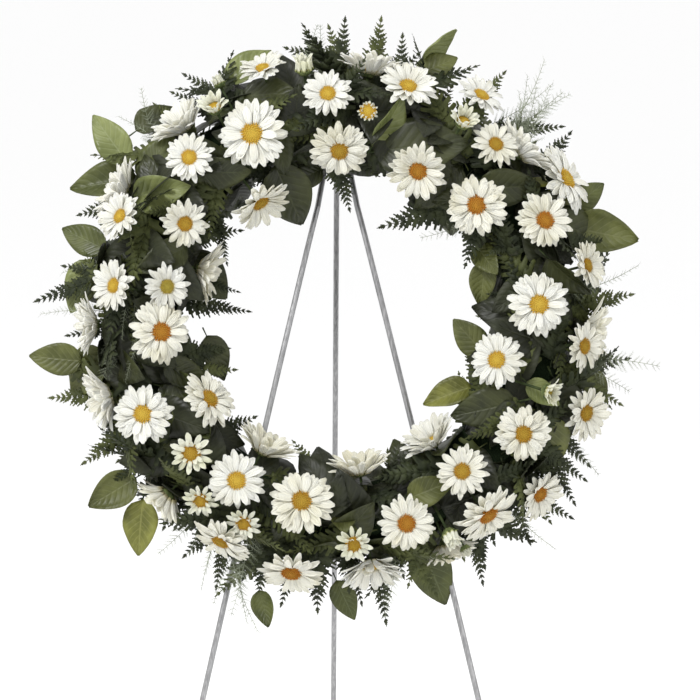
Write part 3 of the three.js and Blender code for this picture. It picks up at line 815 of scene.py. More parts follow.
print("daisies in all", number)

# %% [markdown]
# Leaves and fronds pass behind a flower, not through its petals. So each one planted from here
# on is set back into the ring in small steps, until its mesh meets no petal or button. Where no
# step is clear, it stays at the one where it meets the fewest. Thin sprays are left where they are.

# %% Keep the petals whole
SET_BACK = 4 * MM
SET_BACK_STEPS = 10


def petals_of(piece):
    """The corners and faces of a daisy's petals and button, without its cup and stem."""
    names = [slot.material.name for slot in piece.material_slots]
    faces = [tuple(face.vertices) for face in piece.data.polygons
             if names[face.material_index].startswith(("petal", "button"))]
    return [vertex.co.copy() for vertex in piece.data.vertices], faces


def tree_of_all(pieces):
    """One search tree over the petals of all the daisies."""
    spots, faces = [], []
    for piece in pieces:
        own_spots, own_faces = petals_of(piece)
        faces += [tuple(corner + len(spots) for corner in face) for face in own_faces]
        spots += own_spots
    return BVHTree.FromPolygons(spots, faces)


daisies = [piece for piece in bpy.data.objects if piece.name.startswith("white_daisy_")]
petal_tree = tree_of_all(daisies)
still_cutting = []


def set_clear(piece, inward):
    """Sets a leaf or frond back along inward, to where it cuts no petal or the fewest."""
    faces = [tuple(face.vertices) for face in piece.data.polygons]
    fewest = None
    for step in range(SET_BACK_STEPS + 1):
        back = inward * SET_BACK * step
        spots = [vertex.co + back for vertex in piece.data.vertices]
        cuts = len(petal_tree.overlap(BVHTree.FromPolygons(spots, faces)))
        if fewest is None or cuts < fewest:
            fewest, least = cuts, back
        if cuts == 0:
            break
    piece.data.transform(Matrix.Translation(least))
    if fewest:
        still_cutting.append((fewest, piece.name))


print("petals searched on", len(daisies), "daisies")

# %% [markdown]
# ## Broad leaves
# The large leaves are salal: leathery, oval with a drawn-out tip, dark and glossy above and paler
# below. The blade is the same one as the petal's, with a longer grid, a fold along its middle rib,
# and a second material on its lower face. Seven tones and four bends make the variety.

# %% Leaf finishes


def leaf_finish(name, deep, bright, vein, roughness):
    """Leathery upper face. deep and bright are its two tones, and vein the lighter net."""
    finish, tree, shader, place, along = new_finish(name, roughness=roughness, specular_ior_level=0.3)
    tones = use_group(tree, mottle, place, Size=34.0, Low=0.36, High=0.66)["Mask"]
    freckles = use_group(tree, mottle, place, Size=260.0, Low=0.56, High=0.72)["Mask"]
    net = use_group(tree, leaf_net, along, Pairs=8.0, Sweep=0.55)
    colour = blend_of(tree, tones, deep, bright)
    colour = blend_of(tree, sums(tree, "MULTIPLY", freckles, 0.22), colour, vein)
    colour = blend_of(tree, sums(tree, "MULTIPLY", net["Vein"], 0.35), colour, vein)
    tree.links.new(colour, shader.inputs["Base Color"])
    tree.links.new(ramp(tree, tones, 0, 1, roughness, roughness + 0.14), shader.inputs["Roughness"])
    height = sums(tree, "ADD", net["Relief"], sums(tree, "MULTIPLY", tones, 0.35))
    set_bump(tree, shader, height, 0.6 * MM, 0.45)
    return finish


# tone, its two colours, its veins and its roughness; the shade tone is painted shade, near-black leaves
# standing in for the shadow deep in the ring
LEAF_TONES = [
    ("shade", (0.014, 0.016, 0.008), (0.028, 0.032, 0.014), (0.04, 0.045, 0.02), 0.42),
    ("dark", (0.022, 0.026, 0.009), (0.048, 0.054, 0.017), (0.08, 0.09, 0.04), 0.36),
    ("mid", (0.047, 0.056, 0.014), (0.092, 0.104, 0.028), (0.14, 0.16, 0.07), 0.34),
    ("light", (0.115, 0.135, 0.042), (0.20, 0.225, 0.080), (0.27, 0.30, 0.16), 0.30),
    ("yellow", (0.09, 0.095, 0.018), (0.20, 0.205, 0.045), (0.29, 0.29, 0.10), 0.38),
    ("sheen", (0.036, 0.044, 0.014), (0.085, 0.098, 0.034), (0.15, 0.16, 0.08), 0.16),
    ("olive", (0.058, 0.065, 0.016), (0.112, 0.122, 0.034), (0.17, 0.18, 0.08), 0.36)]
leaf_finishes = {tone: leaf_finish("leaf_" + tone, *rest) for tone, *rest in LEAF_TONES}
leaf_under = green_finish("leaf_under", (0.07, 0.085, 0.03), (0.12, 0.14, 0.055), 60.0, 0.6)
print("leaf finishes", sorted(leaf_finishes))

# %% Leaf masters
LEAF_LONG = 60 * MM
LEAF_WIDE = 38 * MM
STALK_LONG = 14 * MM


def leaf_outline(share):
    """Round foot, widest before the middle, drawn-out tip."""
    return max(0.05, math.sin(math.pi * share ** 0.74) ** 0.68 * (1 - 0.2 * share ** 3))


def leaf_master(name, columns, rows, fold, droop, cup_up):
    """A leaf with its stalk. fold raises its sides, droop bows it, cup_up curls its edges."""
    piece = blade(name, LEAF_LONG, LEAF_WIDE, columns, rows, leaf_outline,
                  lambda share: 0.12 * droop * math.sin(math.pi * share) - droop * share ** 2,
                  lambda side: fold * abs(side) + cup_up * side ** 4, 0.5 * MM, 1)
    bpy.ops.object.select_all(action="DESELECT")
    bpy.ops.mesh.primitive_cone_add(vertices=6, radius1=1.1 * MM, radius2=0.7 * MM, depth=STALK_LONG,
                                    location=(0, 2 * MM - STALK_LONG / 2, -0.6 * MM),
                                    rotation=(-math.pi / 2, 0, 0))
    stalk = new_piece("stalk")
    bpy.ops.object.shade_smooth()
    piece.data.materials.append(leaf_finishes["dark"])
    piece.data.materials.append(leaf_under)
    stalk.data.materials.append(stem_green)
    return join([piece, stalk], name)


leaf_shapes = {"flat": leaf_master("master_leaf_flat", 8, 12, 2.5 * MM, 5 * MM, 0),
               "folded": leaf_master("master_leaf_folded", 8, 12, 9 * MM, 7 * MM, 0),
               "drooping": leaf_master("master_leaf_drooping", 8, 12, 4 * MM, 17 * MM, 1 * MM),
               "cupped": leaf_master("master_leaf_cupped", 8, 12, 3 * MM, -6 * MM, 7 * MM)}
small_leaf = leaf_master("master_leaf_small", 4, 6, 4 * MM, 9 * MM, 0)
print("leaf faces", len(leaf_shapes["flat"].data.polygons), "small", len(small_leaf.data.polygons))

# %% [markdown]
# A leaf is given as a florist would point at it, face on: where its foot is, which way it heads
# and how long it is. Its depth follows from the dome of greens, whose leaves lie over the ring,
# so a leaf near the rim bends back with it. Each one's edge flutters in its own way.

# %% Plant the broad leaves
FOOT_DEPTH = 47 * MM
TIP_DEPTH = 60 * MM
BEND_REACH = 90 * MM
LEAF_REACH = 0.32
LEAF_TILT = 0.35


def flutter(mesh, deep, waves):
    """Waves along both edges of a blade, out of step with each other."""
    start = chance.uniform(0, math.tau)
    for vertex in mesh.vertices:
        side = vertex.co.x / (LEAF_WIDE / 2)
        phase = waves * math.tau * vertex.co.y / LEAF_LONG + start + (0.8 if side > 0 else 0)
        vertex.co.z += deep * math.sin(phase) * side ** 2


def plant_leaf(name, shape, tone, across, up, heading, long, roll):
    """One leaf over the dome of greens, as the table of leaves gives it."""
    heading = math.radians(heading)
    far_across = across + long * math.cos(heading)
    far_up = up + long * math.sin(heading)
    foot = on_face(across, up, depth_at(across, up, FOOT_DEPTH))
    tip = on_face(far_across, far_up, depth_at(far_across, far_up, TIP_DEPTH))
    along = tip - foot
    middle_across, middle_up, _ = read_face((foot + tip) / 2)
    outward = (math.hypot(middle_across, middle_up) - RING_RADIUS) / BEND_REACH
    out = (RIGHT * middle_across + UP * middle_up).normalized()
    facing = FORWARD + out * max(min(outward, 1), -1) * LEAF_TILT
    facing = Matrix.Rotation(math.radians(roll), 3, along) @ facing
    leaf = copy_of(leaf_shapes[shape], name, Matrix.Identity(4))
    flutter(leaf.data, chance.uniform(0.8, 2.2) * MM, chance.uniform(1.2, 2.4))
    leaf.data.transform(standing(foot, along, facing, along.length / LEAF_LONG, chance.uniform(0.92, 1.08)))
    leaf.data.materials[0] = leaf_finishes[tone]
    kept_clear.append(((foot + tip) / 2 + facing.normalized() * 12 * MM, along.length * LEAF_REACH))
    return leaf


def greens_at(across, up):
    """The frame's bunch of greens that stands at that place, one of twelve."""
    sector = int(math.degrees(math.atan2(up, across)) % 360 // 30) + 1
    return f"greens_{sector:02d}"


# across, up, heading, length, roll, tone, shape
LEAVES = [
    (-214, 159, 126, 60, 0, "light", "flat"), (-205, 144, 185, 70, 10, "mid", "folded"),
    (-199, 137, 58, 60, -10, "mid", "flat"), (-205, 121, 6, 54, 15, "light", "folded"),
    (-205, 191, 36, 48, 0, "dark", "drooping"), (-235, 69, 153, 52, 0, "mid", "flat"),
    (-250, 60, 248, 58, -12, "light", "flat"), (-154, 67, 311, 62, 12, "dark", "flat"),
    (-153, 69, 208, 50, 0, "dark", "drooping"), (-138, 142, 0, 50, 20, "dark", "flat"),
    (-64, 152, 296, 70, 0, "dark", "drooping"), (-16, 152, 209, 42, 0, "dark", "flat"),
    (-111, 239, 40, 56, -12, "light", "folded"), (-98, 223, 0, 55, -20, "dark", "flat"),
    (86, 264, 46, 46, 68, "light", "cupped"), (81, 247, 25, 46, 0, "olive", "flat"),
    (34, 169, 54, 56, 48, "light", "folded"), (36, 165, 4, 92, -8, "dark", "flat"),
    (138, 127, 0, 66, 15, "dark", "drooping"), (176, 139, 12, 54, -25, "yellow", "folded"),
    (209, 117, 7, 44, 10, "yellow", "flat"), (236, 92, -13, 70, 6, "olive", "cupped"),
    (214, 100, -24, 62, 0, "dark", "flat"), (238, 112, 36, 44, 0, "mid", "flat"),
    (139, 71, -60, 34, 0, "olive", "flat"), (148, 55, 262, 46, 0, "olive", "folded"),
    (208, 56, -42, 58, 60, "dark", "folded"), (-260, -43, 174, 54, 0, "olive", "flat"),
    (-234, -33, 226, 60, 10, "olive", "folded"), (-172, -58, -55, 78, 24, "sheen", "cupped"),
    (-176, -48, -25, 50, 0, "dark", "flat"), (-134, -18, -65, 48, 0, "dark", "drooping"),
    (-206, -161, 211, 55, 0, "olive", "cupped"), (-199, -183, 264, 57, 0, "yellow", "flat"),
    (-82, -275, -75, 38, 0, "mid", "cupped"), (-4, -266, -66, 44, 0, "mid", "flat"),
    (-1, -153, -86, 60, 0, "olive", "flat"), (148, -38, 132, 48, 0, "olive", "flat"),
    (134, -71, 198, 52, 10, "yellow", "folded"), (176, -88, 192, 68, -8, "dark", "flat"),
    (212, -102, 268, 60, 0, "olive", "flat"), (66, -183, 20, 46, 0, "olive", "drooping"),
    (81, -228, -67, 72, 0, "mid", "flat"), (255, -56, -55, 30, 0, "olive", "flat"),
    (186, -68, -36, 40, 0, "light", "flat")]
for number, (across, up, heading, long, roll, tone, shape) in enumerate(LEAVES, 1):
    leaf = plant_leaf(f"salal_leaf_{number:02d}", shape, tone, across * MM, up * MM,
                      heading, long * MM, roll)
    set_clear(leaf, -FORWARD)
    belongs(leaf, "foliage", greens_at(across, up))
print("broad leaves", len(LEAVES), "still cutting a petal", still_cutting)

# %% [markdown]
# ## Fern fronds
# Leatherleaf fern fills most of the ring. A frond is a stiff rib with leaflets in pairs, shorter
# and shorter to its tip, and each leaflet is toothed like a comb. The leaflet is one blade whose
# rows are narrowed in turn, and the teeth are drawn forward; it is copied along the rib.
# There are thousands of leaflets in all, so each one has only a few dozen faces.

# %% Fern finishes and leaflet
fern_dark = green_finish("fern_dark", (0.018, 0.023, 0.011), (0.040, 0.048, 0.021), 70.0, 0.5)
fern_fresh = green_finish("fern_fresh", (0.042, 0.050, 0.016), (0.088, 0.100, 0.034), 70.0, 0.5)
LEAFLET_LONG = 30 * MM
LEAFLET_WIDE = 17 * MM
FROND_LONG = 110 * MM


def leaflet_master(name, rows):
    """One toothed leaflet. Every second row is a tooth, and its ends are pulled forward."""

    def outline(share):
        tooth = 1 if round(share * rows) % 2 else 0.56
        return max(0.07, (1 - share ** 1.4) * tooth * (0.8 + 0.4 * math.sin(math.pi * share)))

    piece = blade(name, LEAFLET_LONG, LEAFLET_WIDE, 2, rows, outline,
                  lambda share: -2.0 * MM * share ** 2, lambda side: 1.2 * MM * abs(side), 0.3 * MM)
    open_piece(piece)
    step = LEAFLET_LONG / rows
    for row in range(1, rows, 2):
        pick(piece, lambda place: abs(place.y - row * step) < 0.1 * step and abs(place.x) > 0.6 * MM)
        bpy.ops.transform.translate(value=(0, 0.75 * step, 0))
    close_piece()
    return piece


leaflet_fine = leaflet_master("leaflet_fine", 8)
leaflet_plain = leaflet_master("leaflet_plain", 4)
print("leaflet faces", len(leaflet_fine.data.polygons), len(leaflet_plain.data.polygons))


# %% Frond masters


def frond_master(name, leaflet, pairs, base_size, finish):
    """A rib with its pairs of leaflets, growing along +Y with its upper face to +Z."""
    rib = blade(name, FROND_LONG, 1.6 * MM, 2, 10, lambda share: 1 - 0.6 * share,
                lambda share: 0, lambda side: 0, 0.9 * MM)
    rib.data.materials.append(finish)
    parts = [rib]
    for pair in range(pairs):
        share = 0.16 + 0.82 * (pair / (pairs - 1)) ** 0.92
        size = base_size * (1 - share) ** 0.85 + 0.13
        for side in (-1, 1):
            angle = math.radians(side * (62 - 26 * share + chance.uniform(-5, 5)))
            place = (Matrix.Translation((0, share * FROND_LONG, -0.3 * MM))
                     @ Matrix.Rotation(-angle, 4, "Z")
                     @ Matrix.Rotation(math.radians(chance.uniform(-16, 8)), 4, "X")
                     @ Matrix.Rotation(math.radians(chance.uniform(-18, 18)), 4, "Y")
                     @ Matrix.Scale(size * chance.uniform(0.9, 1.08), 4))
            part = copy_of(leaflet, "leaflet_copy", place)
            part.data.materials.append(finish)
            parts.append(part)
    place = Matrix.Translation((0, 0.985 * FROND_LONG, 0)) @ Matrix.Scale(0.3, 4)
    end = copy_of(leaflet, "leaflet_copy", place)
    end.data.materials.append(finish)
    return join(parts + [end], name)


fronds = [frond_master("master_frond_wide", leaflet_fine, 12, 1.2, fern_dark),
          frond_master("master_frond_slim", leaflet_fine, 13, 0.85, fern_dark),
          frond_master("master_frond_fresh", leaflet_fine, 13, 1.0, fern_fresh)]
filling_fronds = [frond_master("master_frond_filling", leaflet_plain, 11, 1.25, fern_dark),
                  frond_master("master_frond_pale", leaflet_plain, 11, 1.05, fern_fresh)]
print("frond faces", [len(piece.data.polygons) for piece in fronds])

# %% [markdown]
# Fronds whose tips stand clear of the ring are placed one by one, by their tip and heading.
# The rest are set round the ring in rows, on the dome, over the rim and into the hole,
# each with a random heading, bow and sway from a fixed seed. The fronds that root in one twelfth
# of the ring are joined, and stand for the frame's bunch of greens there.

# %% Plant the fronds
SPRIG_FOOT_DEPTH = 34 * MM
SPRIG_TIP_DEPTH = 56 * MM
TRIES = 10
FRESH_SHARE = 0.42


def bow(mesh, drop, sway, long):
    """Bends a sprig: its tip falls by drop and swings aside by sway."""
    for vertex in mesh.vertices:
        share = vertex.co.y / long
        vertex.co.z -= drop * share * abs(share)
        vertex.co.x += sway * share * abs(share)


def sprig_to(master, name, tip_across, tip_up, heading, long, own_long, lift=0.0):
    """A sprig whose tip is at that place on the face, rooted in the dome behind it."""
    heading = math.radians(heading)
    foot_across = tip_across - long * math.cos(heading)
    foot_up = tip_up - long * math.sin(heading)
    foot = on_face(foot_across, foot_up, depth_at(foot_across, foot_up, SPRIG_FOOT_DEPTH))
    tip = on_face(tip_across, tip_up, depth_at(tip_across, tip_up, SPRIG_TIP_DEPTH) + lift)
    facing = Matrix.Rotation(chance.uniform(-0.45, 0.45), 3, tip - foot) @ FORWARD
    sprig = copy_of(master, name, Matrix.Identity(4))
    bow(sprig.data, chance.uniform(-2, 5) * MM, chance.uniform(-4, 4) * MM, own_long)
    sprig.data.transform(standing(foot, tip - foot, facing, (tip - foot).length / own_long))
    return sprig, greens_at(foot_across, foot_up)


def growth(clock, around, lean, swing):
    """Which way a sprig grows: lean is how far it lies down, and swing which way it lies."""
    normal = ring_normal(math.radians(clock), math.radians(around))
    tangent = UP * math.cos(math.radians(clock)) - RIGHT * math.sin(math.radians(clock))
    swing = math.radians(swing)
    flat = tangent * math.cos(swing) + normal.cross(tangent) * math.sin(swing)
    lean = math.radians(lean)
    return normal * math.cos(lean) + flat * math.sin(lean), normal * math.sin(lean) - flat * math.cos(lean)


def grows_clear(clock, around, depth, lean, swing, long):
    """Whether a sprig there would grow past the flower heads and broad leaves, not through one."""
    root = ring_point(math.radians(clock), math.radians(around), depth)
    along = growth(clock, around, lean, swing)[0]
    spots = [root + along * long * share for share in (0.3, 0.5, 0.7, 0.9)]
    return all((spot - middle).length > reach for spot in spots for middle, reach in kept_clear)


def sprig_from(master, name, clock, around, depth, lean, swing, own_long, size, drop):
    """A sprig rooted in the ring's body at that depth, bowed down by drop."""
    along, facing = growth(clock, around, lean, swing)
    root = ring_point(math.radians(clock), math.radians(around), depth)
    sprig = copy_of(master, name, Matrix.Identity(4))
    bow(sprig.data, drop, chance.uniform(-6, 6) * MM, own_long)
    sprig.data.transform(standing(root, along, facing + FORWARD * 0.3, size))
    across, up, _ = read_face(root)
    return sprig, greens_at(across, up)


def twelve_bunches():
    """An empty list for each of the frame's twelve bunches of greens."""
    return {f"greens_{number:02d}": [] for number in range(1, 13)}


def join_bunches(by_bunch, kind):
    """Joins the pieces of each bunch into one of that kind, which stands for the frame's bunch."""
    for bunch, pieces in by_bunch.items():
        belongs(join(pieces, bunch.replace("greens", kind)), "foliage", bunch)
    print(kind, "pieces", sum(len(pieces) for pieces in by_bunch.values()))


# across and up of the tip, heading and length
FROND_TIPS = [
    (-225, -142, 214, 75), (-205, -150, 222, 75), (-165, -214, 232, 75), (225, 165, 30, 75),
    (205, 205, 44, 75), (-238, 92, 165, 80), (-246, 128, 158, 75), (-186, 216, 136, 75),
    (-236, -6, 188, 75), (9, 308, 83, 95), (45, 311, 83, 95), (65, 288, 87, 85), (84, 272, 43, 80),
    (-51, 276, 159, 80), (-6, 300, 104, 85), (-155, 246, 148, 80), (-168, 230, 152, 75),
    (-305, 17, 200, 100), (-264, 109, 191, 80), (-92, 8, -8, 75), (-100, 86, 2, 75), (-113, 56, -75, 60),
    (170, 250, 50, 80), (228, 193, 3, 80), (240, 187, 47, 80), (45, 94, 194, 100), (11, 111, -75, 70),
    (300, 25, 14, 90), (-292, -78, 180, 90), (-257, -148, 217, 90), (-234, -138, 236, 70),
    (-128, -271, 257, 85), (-106, -54, 0, 75), (-86, -100, 24, 75), (-25, -296, -90, 90),
    (238, -189, -60, 85), (236, -204, -29, 85), (189, -229, -72, 90), (154, -231, -70, 80),
    (147, -254, -75, 85), (145, -269, -80, 85), (47, -309, -82, 95), (254, -149, -42, 85),
    (296, -45, 5, 90), (47, -136, 95, 75), (54, -138, 75, 75), (79, -124, 60, 75), (117, 237, 60, 80),
    (-60, 120, -60, 70), (-205, -185, 228, 80), (-180, -212, 238, 80), (-158, -240, 222, 80),
    (-228, -168, 214, 80), (-80, -280, 262, 80), (-60, -288, 250, 80), (20, -290, -80, 80),
    (95, -280, -62, 80), (-278, 52, 170, 80), (-274, -20, 192, 80), (272, 78, 12, 80), (284, -90, -30, 80),
    (-103, 30, -14, 60), (-112, -30, 10, 60), (140, 40, 190, 60), (142, 0, 170, 60), (150, 20, 180, 50),
    (148, 62, 205, 50), (150, -22, 168, 50), (218, -186, -45, 80), (228, -172, -40, 80),
    (172, -222, -60, 80), (126, -246, -72, 80), (248, -165, -35, 80), (262, -110, -20, 80),
    (255, 40, 10, 80), (262, 0, 0, 80), (268, -30, -8, 80), (-150, -205, 226, 75), (-138, -222, 232, 75),
    (-118, -236, 240, 75), (-172, -186, 226, 75), (-98, -262, 248, 75), (-196, -196, 226, 70),
    (10, -276, -84, 75), (64, -262, -72, 75), (206, -204, -48, 75), (192, -196, -44, 75),
    (216, -206, -52, 75), (232, -150, -32, 75), (250, 100, 20, 75), (200, 180, 45, 80), (215, 165, 35, 80),
    (180, 200, 50, 80), (150, 215, 55, 80), (235, 150, 25, 80), (-215, -120, 210, 80),
    (-235, -105, 205, 80), (-190, -160, 222, 80)]
bunches = twelve_bunches()
for across, up, heading, long in FROND_TIPS:
    shape = chance.choice((fronds[0], fronds[1], fronds[1], fronds[2]))
    sprig, bunch = sprig_to(shape, "frond", across * MM, up * MM, heading, long * MM, FROND_LONG)
    set_clear(sprig, -FORWARD)
    bunches[bunch].append(sprig)
print("fronds placed by their tips", len(FROND_TIPS), "cutting so far", len(still_cutting))

# around the ring's body, depth of the root, lean, size and how many
FROND_ROWS = [(-8, 37, 80, 0.74, 24), (28, 37, 78, 0.76, 26), (62, 32, 62, 0.8, 30), (92, 28, 60, 0.78, 26),
              (-44, 33, 74, 0.62, 20), (-82, 28, 72, 0.56, 18)]
for around, depth, lean, size, count in FROND_ROWS:
    for step in range(count):
        clock = 360 / count * (step + chance.uniform(-0.3, 0.3)) + around
        loose = 16 if abs(around) > 60 else 6
        for _ in range(TRIES):
            swing = chance.choice((0, 180)) + chance.uniform(-60, 60)
            lies = lean + chance.uniform(-loose, loose)
            if grows_clear(clock, around, depth * MM, lies, swing, size * FROND_LONG):
                break
        else:
            continue
        sprig, bunch = sprig_from(filling_fronds[chance.random() < FRESH_SHARE], "frond", clock, around,
                                  depth * MM, lies, swing, FROND_LONG, size * chance.uniform(0.85, 1.1),
                                  chance.uniform(4, 18) * MM)
        set_clear(sprig, -ring_normal(math.radians(clock), math.radians(around)))
        bunches[bunch].append(sprig)
join_bunches(bunches, "fern_bunch")
print("leaves and fronds that still cut a petal", still_cutting)

# %% [markdown]
# ## Leaves against the foam
# Under everything a florist lays a first coat of leaves, so that no foam shows between the stems.
# Small leaves are set round the body in rings, nearly flat on it, each heading its own way.

# %% First coat of leaves
COAT_ROWS = [(-90, 24), (-60, 24), (-30, 26), (-4, 28), (22, 30), (50, 34), (78, 38), (104, 34)]
coats = twelve_bunches()
for around, count in COAT_ROWS:
    for step in range(count):
        clock = 360 / count * (step + chance.uniform(-0.35, 0.35)) + around * 0.7
        leaf, bunch = sprig_from(small_leaf, "coat", clock, around + chance.uniform(-8, 8),
                                 chance.uniform(27, 34) * MM, chance.uniform(70, 88),
                                 chance.uniform(0, 360), LEAF_LONG, chance.uniform(0.8, 1.15),
                                 chance.uniform(-2, 8) * MM)
        # Most coat leaves take the shade tone, painted shade for the dark deep in the ring.
        tone = chance.choice(("shade", "shade", "shade", "dark"))
        leaf.data.materials[0] = leaf_finishes[tone]
        set_clear(leaf, -ring_normal(math.radians(clock), math.radians(around)))
        coats[bunch].append(leaf)
join_bunches(coats, "leaf_coat")

# %% [markdown]
# ## Asparagus fern
# Wisps of asparagus fern soften the edge. A spray is a wiry stem with side twigs in one plane,
# and every twig carries needles thin as hair. A needle is a three-sided spike of four faces.

# %% Spray masters
spray_green = green_finish("spray_green", (0.17, 0.19, 0.13), (0.30, 0.33, 0.24), 60.0, 0.7)
NEEDLES = 18
NEEDLE_LONG = 3.6 * MM
TWIG_LONG = 16 * MM
SPRAY_LONG = 100 * MM


def spike(name, thick, long):
    """A thin three-sided spike along +Y."""
    bpy.ops.object.select_all(action="DESELECT")
    bpy.ops.mesh.primitive_cone_add(vertices=3, radius1=thick, radius2=0, depth=long,
                                    location=(0, long / 2, 0), rotation=(-math.pi / 2, 0, 0))
    return new_piece(name)


def twig_master():
    """A twig with needles all along it, most of them lying in its plane."""
    needle = spike("needle", 0.26 * MM, NEEDLE_LONG)
    parts = [spike("twig", 0.36 * MM, TWIG_LONG)]
    for count in range(NEEDLES):
        side = 1 if count % 2 else -1
        place = (Matrix.Translation((0, TWIG_LONG * (0.06 + 0.052 * count), 0))
                 @ Matrix.Rotation(chance.uniform(-0.6, 0.6), 4, "Y")
                 @ Matrix.Rotation(side * math.radians(chance.uniform(35, 60)), 4, "Z")
                 @ Matrix.Scale(1.2 - 0.035 * count, 4))
        parts.append(copy_of(needle, "needle_copy", place))
    bpy.data.objects.remove(needle)
    return join(parts, "twig")


def spray_master(name, pairs, wide, sway):
    """A stem with twigs in pairs. sway bends the whole spray sideways."""
    stem = blade(name, SPRAY_LONG, 0.9 * MM, 2, 12, lambda share: 1 - 0.6 * share,
                 lambda share: 0, lambda side: 0, 0.6 * MM)
    parts = [stem]
    for pair in range(pairs):
        share = 0.12 + 0.86 * pair / (pairs - 1)
        for side in (-1, 1):
            size = wide * (1 - 0.75 * share) * chance.uniform(0.8, 1.15)
            place = (Matrix.Translation((0, SPRAY_LONG * (share + chance.uniform(-0.02, 0.02)), 0))
                     @ Matrix.Rotation(chance.uniform(-0.35, 0.35), 4, "Y")
                     @ Matrix.Rotation(side * math.radians(chance.uniform(42, 60)), 4, "Z")
                     @ Matrix.Scale(size, 4))
            parts.append(copy_of(twig, "twig_copy", place))
    for part in parts:
        part.data.materials.append(spray_green)
    made = join(parts, name)
    bow(made.data, 0, sway, SPRAY_LONG)
    return made


twig = twig_master()
sprays = [spray_master("master_spray_broad", 14, 1.5, 12 * MM),
          spray_master("master_spray_slim", 16, 1.0, -20 * MM)]
print("spray faces", [len(piece.data.polygons) for piece in sprays])

# %% Plant the sprays
# across and up of the tip, heading, length and how far it stands forward
SPRAY_TIPS = [
    (229, 247, 47, 100, 0), (226, 222, 20, 80, 0), (200, 212, 40, 60, 10), (212, 238, 75, 70, 5),
    (216, 226, 60, 80, 3), (196, 228, 80, 70, 8), (234, 232, 36, 80, 0), (-226, -20, 250, 60, 14),
    (-238, -48, 265, 60, 10), (-212, -38, 262, 60, 14), (-98, -302, 266, 100, 0), (-112, -306, 262, 90, 0),
    (-150, -250, 236, 80, 0), (-164, -232, 232, 80, 0), (222, 236, 52, 90, 6), (206, 240, 66, 80, 6),
    (-214, 214, 135, 70, 0), (-279, 65, 170, 80, 0), (-235, -75, 255, 70, 8), (-222, -60, 240, 60, 12),
    (-250, -30, 215, 70, 5), (-174, -245, 235, 80, 0), (-153, -266, 240, 80, 0), (-105, -319, -86, 100, 0),
    (-27, 298, 105, 70, 0), (88, 71, 205, 80, 0), (258, 62, -20, 70, 5), (306, 35, 10, 80, 0),
    (326, -38, 3, 100, 0), (268, -155, -40, 75, 0), (205, -245, -55, 85, 0), (56, -304, -90, 80, 0),
    (-120, -290, 262, 80, 0), (188, -222, -48, 60, 5), (262, -120, -30, 70, 0), (-30, 300, 85, 70, 0),
    (-206, 232, 110, 70, 0), (300, -70, -20, 80, 0), (-300, 20, 168, 80, 0)]
for number, (across, up, heading, long, lift) in enumerate(SPRAY_TIPS, 1):
    spray, bunch = sprig_to(chance.choice(sprays), f"asparagus_spray_{number:02d}", across * MM, up * MM,
                            heading, long * MM, SPRAY_LONG, lift * MM)
    belongs(spray, "foliage", bunch)
print("sprays", len(SPRAY_TIPS))

# %% [markdown]
# ## Easel, tray and foam
# The solid frame's own pieces keep their shape and get their finishes. The easel is drawn steel wire
# with a dull zinc coat, faintly streaked along its length. Bolt, nut and spacers are brighter.
# The feet are grey rubber caps, the tray is moulded plastic, and the foam is a mass of tiny cells.

# %% Frame finishes


def drawn_metal(name, dull, bright, roughness, streaks=(500.0, 500.0, 16.0)):
    """Coated wire or bar: streaks stretch along the length, and worn spots shine more."""
    finish, tree, shader, place, _ = new_finish(name, metallic=0.85, roughness=roughness)
    drawn = add_node(tree, "ShaderNodeMapping", {"Vector": place, "Scale": streaks}).outputs["Vector"]
    lines = use_group(tree, mottle, drawn, Size=1.0, Low=0.35, High=0.7)["Mask"]
    spots = use_group(tree, mottle, place, Size=55.0, Low=0.4, High=0.7)["Mask"]
    colour = blend_of(tree, lines, dull, bright)
    colour = blend_of(tree, sums(tree, "MULTIPLY", spots, 0.35), colour, dull)
    tree.links.new(colour, shader.inputs["Base Color"])
    tree.links.new(ramp(tree, spots, 0, 1, roughness, roughness + 0.15), shader.inputs["Roughness"])
    set_bump(tree, shader, lines, 0.05 * MM, 0.4)
    return finish


def moulded(name, dark, light, grain, roughness, depth):
    """Moulded rubber or plastic with a fine grain."""
    finish, tree, shader, place, _ = new_finish(name, roughness=roughness, specular_ior_level=0.35)
    tones = use_group(tree, mottle, place, Size=30.0, Low=0.35, High=0.7)["Mask"]
    grains = use_group(tree, mottle, place, Size=grain, Low=0.4, High=0.65)["Mask"]
    colour = blend_of(tree, tones, dark, light)
    colour = blend_of(tree, sums(tree, "MULTIPLY", grains, 0.3), colour, dark)
    tree.links.new(colour, shader.inputs["Base Color"])
    set_bump(tree, shader, grains, depth, 0.6)
    return finish


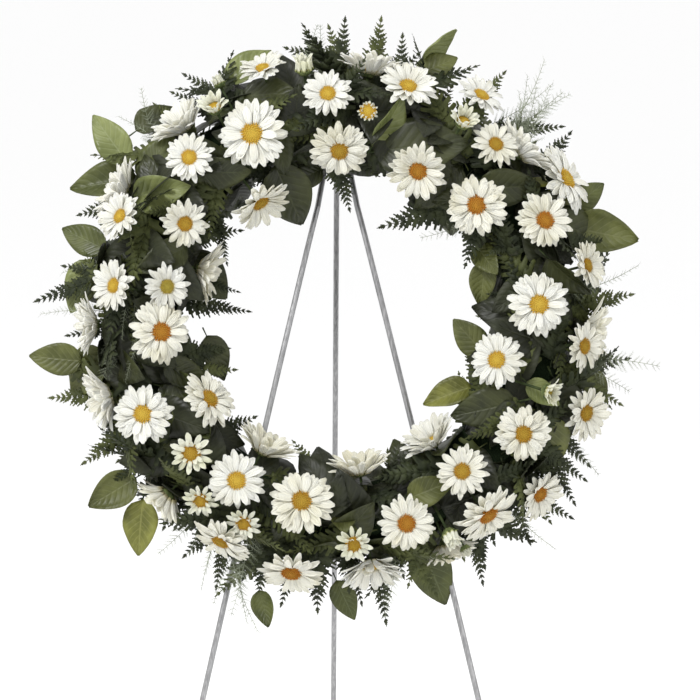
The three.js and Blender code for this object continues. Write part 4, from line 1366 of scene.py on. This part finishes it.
def foam_cells(name, dark, light):
    """Wet floral foam: open cells, with painted shade darkening their bottoms."""
    finish, tree, shader, place, _ = new_finish(name, roughness=0.9, specular_ior_level=0.1)
    cells = add_node(tree, "ShaderNodeTexVoronoi", {"Vector": place, "Scale": 700.0}).outputs["Distance"]
    tones = use_group(tree, mottle, place, Size=25.0, Low=0.35, High=0.7)["Mask"]
    # painted shade: each cell's middle, the bottom of its pit, is darkened towards dark
    colour = blend_of(tree, ramp(tree, cells, 0.1, 0.6), dark, light)
    colour = blend_of(tree, sums(tree, "MULTIPLY", tones, 0.5), colour, dark)
    tree.links.new(colour, shader.inputs["Base Color"])
    set_bump(tree, shader, cells, 0.6 * MM, 0.8)
    return finish


frame_finishes = {
    drawn_metal("easel_steel", (0.27, 0.27, 0.275), (0.42, 0.42, 0.425), 0.36):
        ("front_leg_left", "front_leg_right", "rear_leg", "rear_leg_eye", "crossbar", "head_bracket",
         "wreath_hook"),
    drawn_metal("zinc_fastener", (0.36, 0.36, 0.35), (0.56, 0.56, 0.55), 0.28, (90.0, 90.0, 90.0)):
        ("hinge_bolt", "hinge_nut", "hinge_spacer_left", "hinge_spacer_right"),
    moulded("cap_rubber", (0.10, 0.10, 0.105), (0.17, 0.17, 0.175), 900.0, 0.7, 0.1 * MM):
        ("foot_cap_left", "foot_cap_right", "foot_cap_rear"),
    moulded("tray_plastic", (0.008, 0.022, 0.011), (0.018, 0.040, 0.021), 500.0, 0.5, 0.08 * MM):
        ("ring_tray",),
    foam_cells("floral_foam", (0.004, 0.008, 0.003), (0.014, 0.024, 0.010)):
        ("foam_ring",),
    moulded("florist_wire", (0.010, 0.022, 0.012), (0.022, 0.044, 0.024), 300.0, 0.4, 0.05 * MM):
        ("hanger_wire", "tie_wire_left", "tie_wire_right")}
for finish, names in frame_finishes.items():
    for name in names:
        nodes[name].data.materials.clear()
        nodes[name].data.materials.append(finish)
print("frame finishes", [finish.name for finish in frame_finishes])

# %% Clear the masters
masters = [tube_shape, cup, small_leaf, leaflet_fine, leaflet_plain, twig]
masters += petals + fronds + filling_fronds + sprays
for kinds in (shapes, buttons, leaf_shapes):
    masters += kinds.values()
for master in masters:
    bpy.data.objects.remove(master)
bpy.context.view_layer.update()
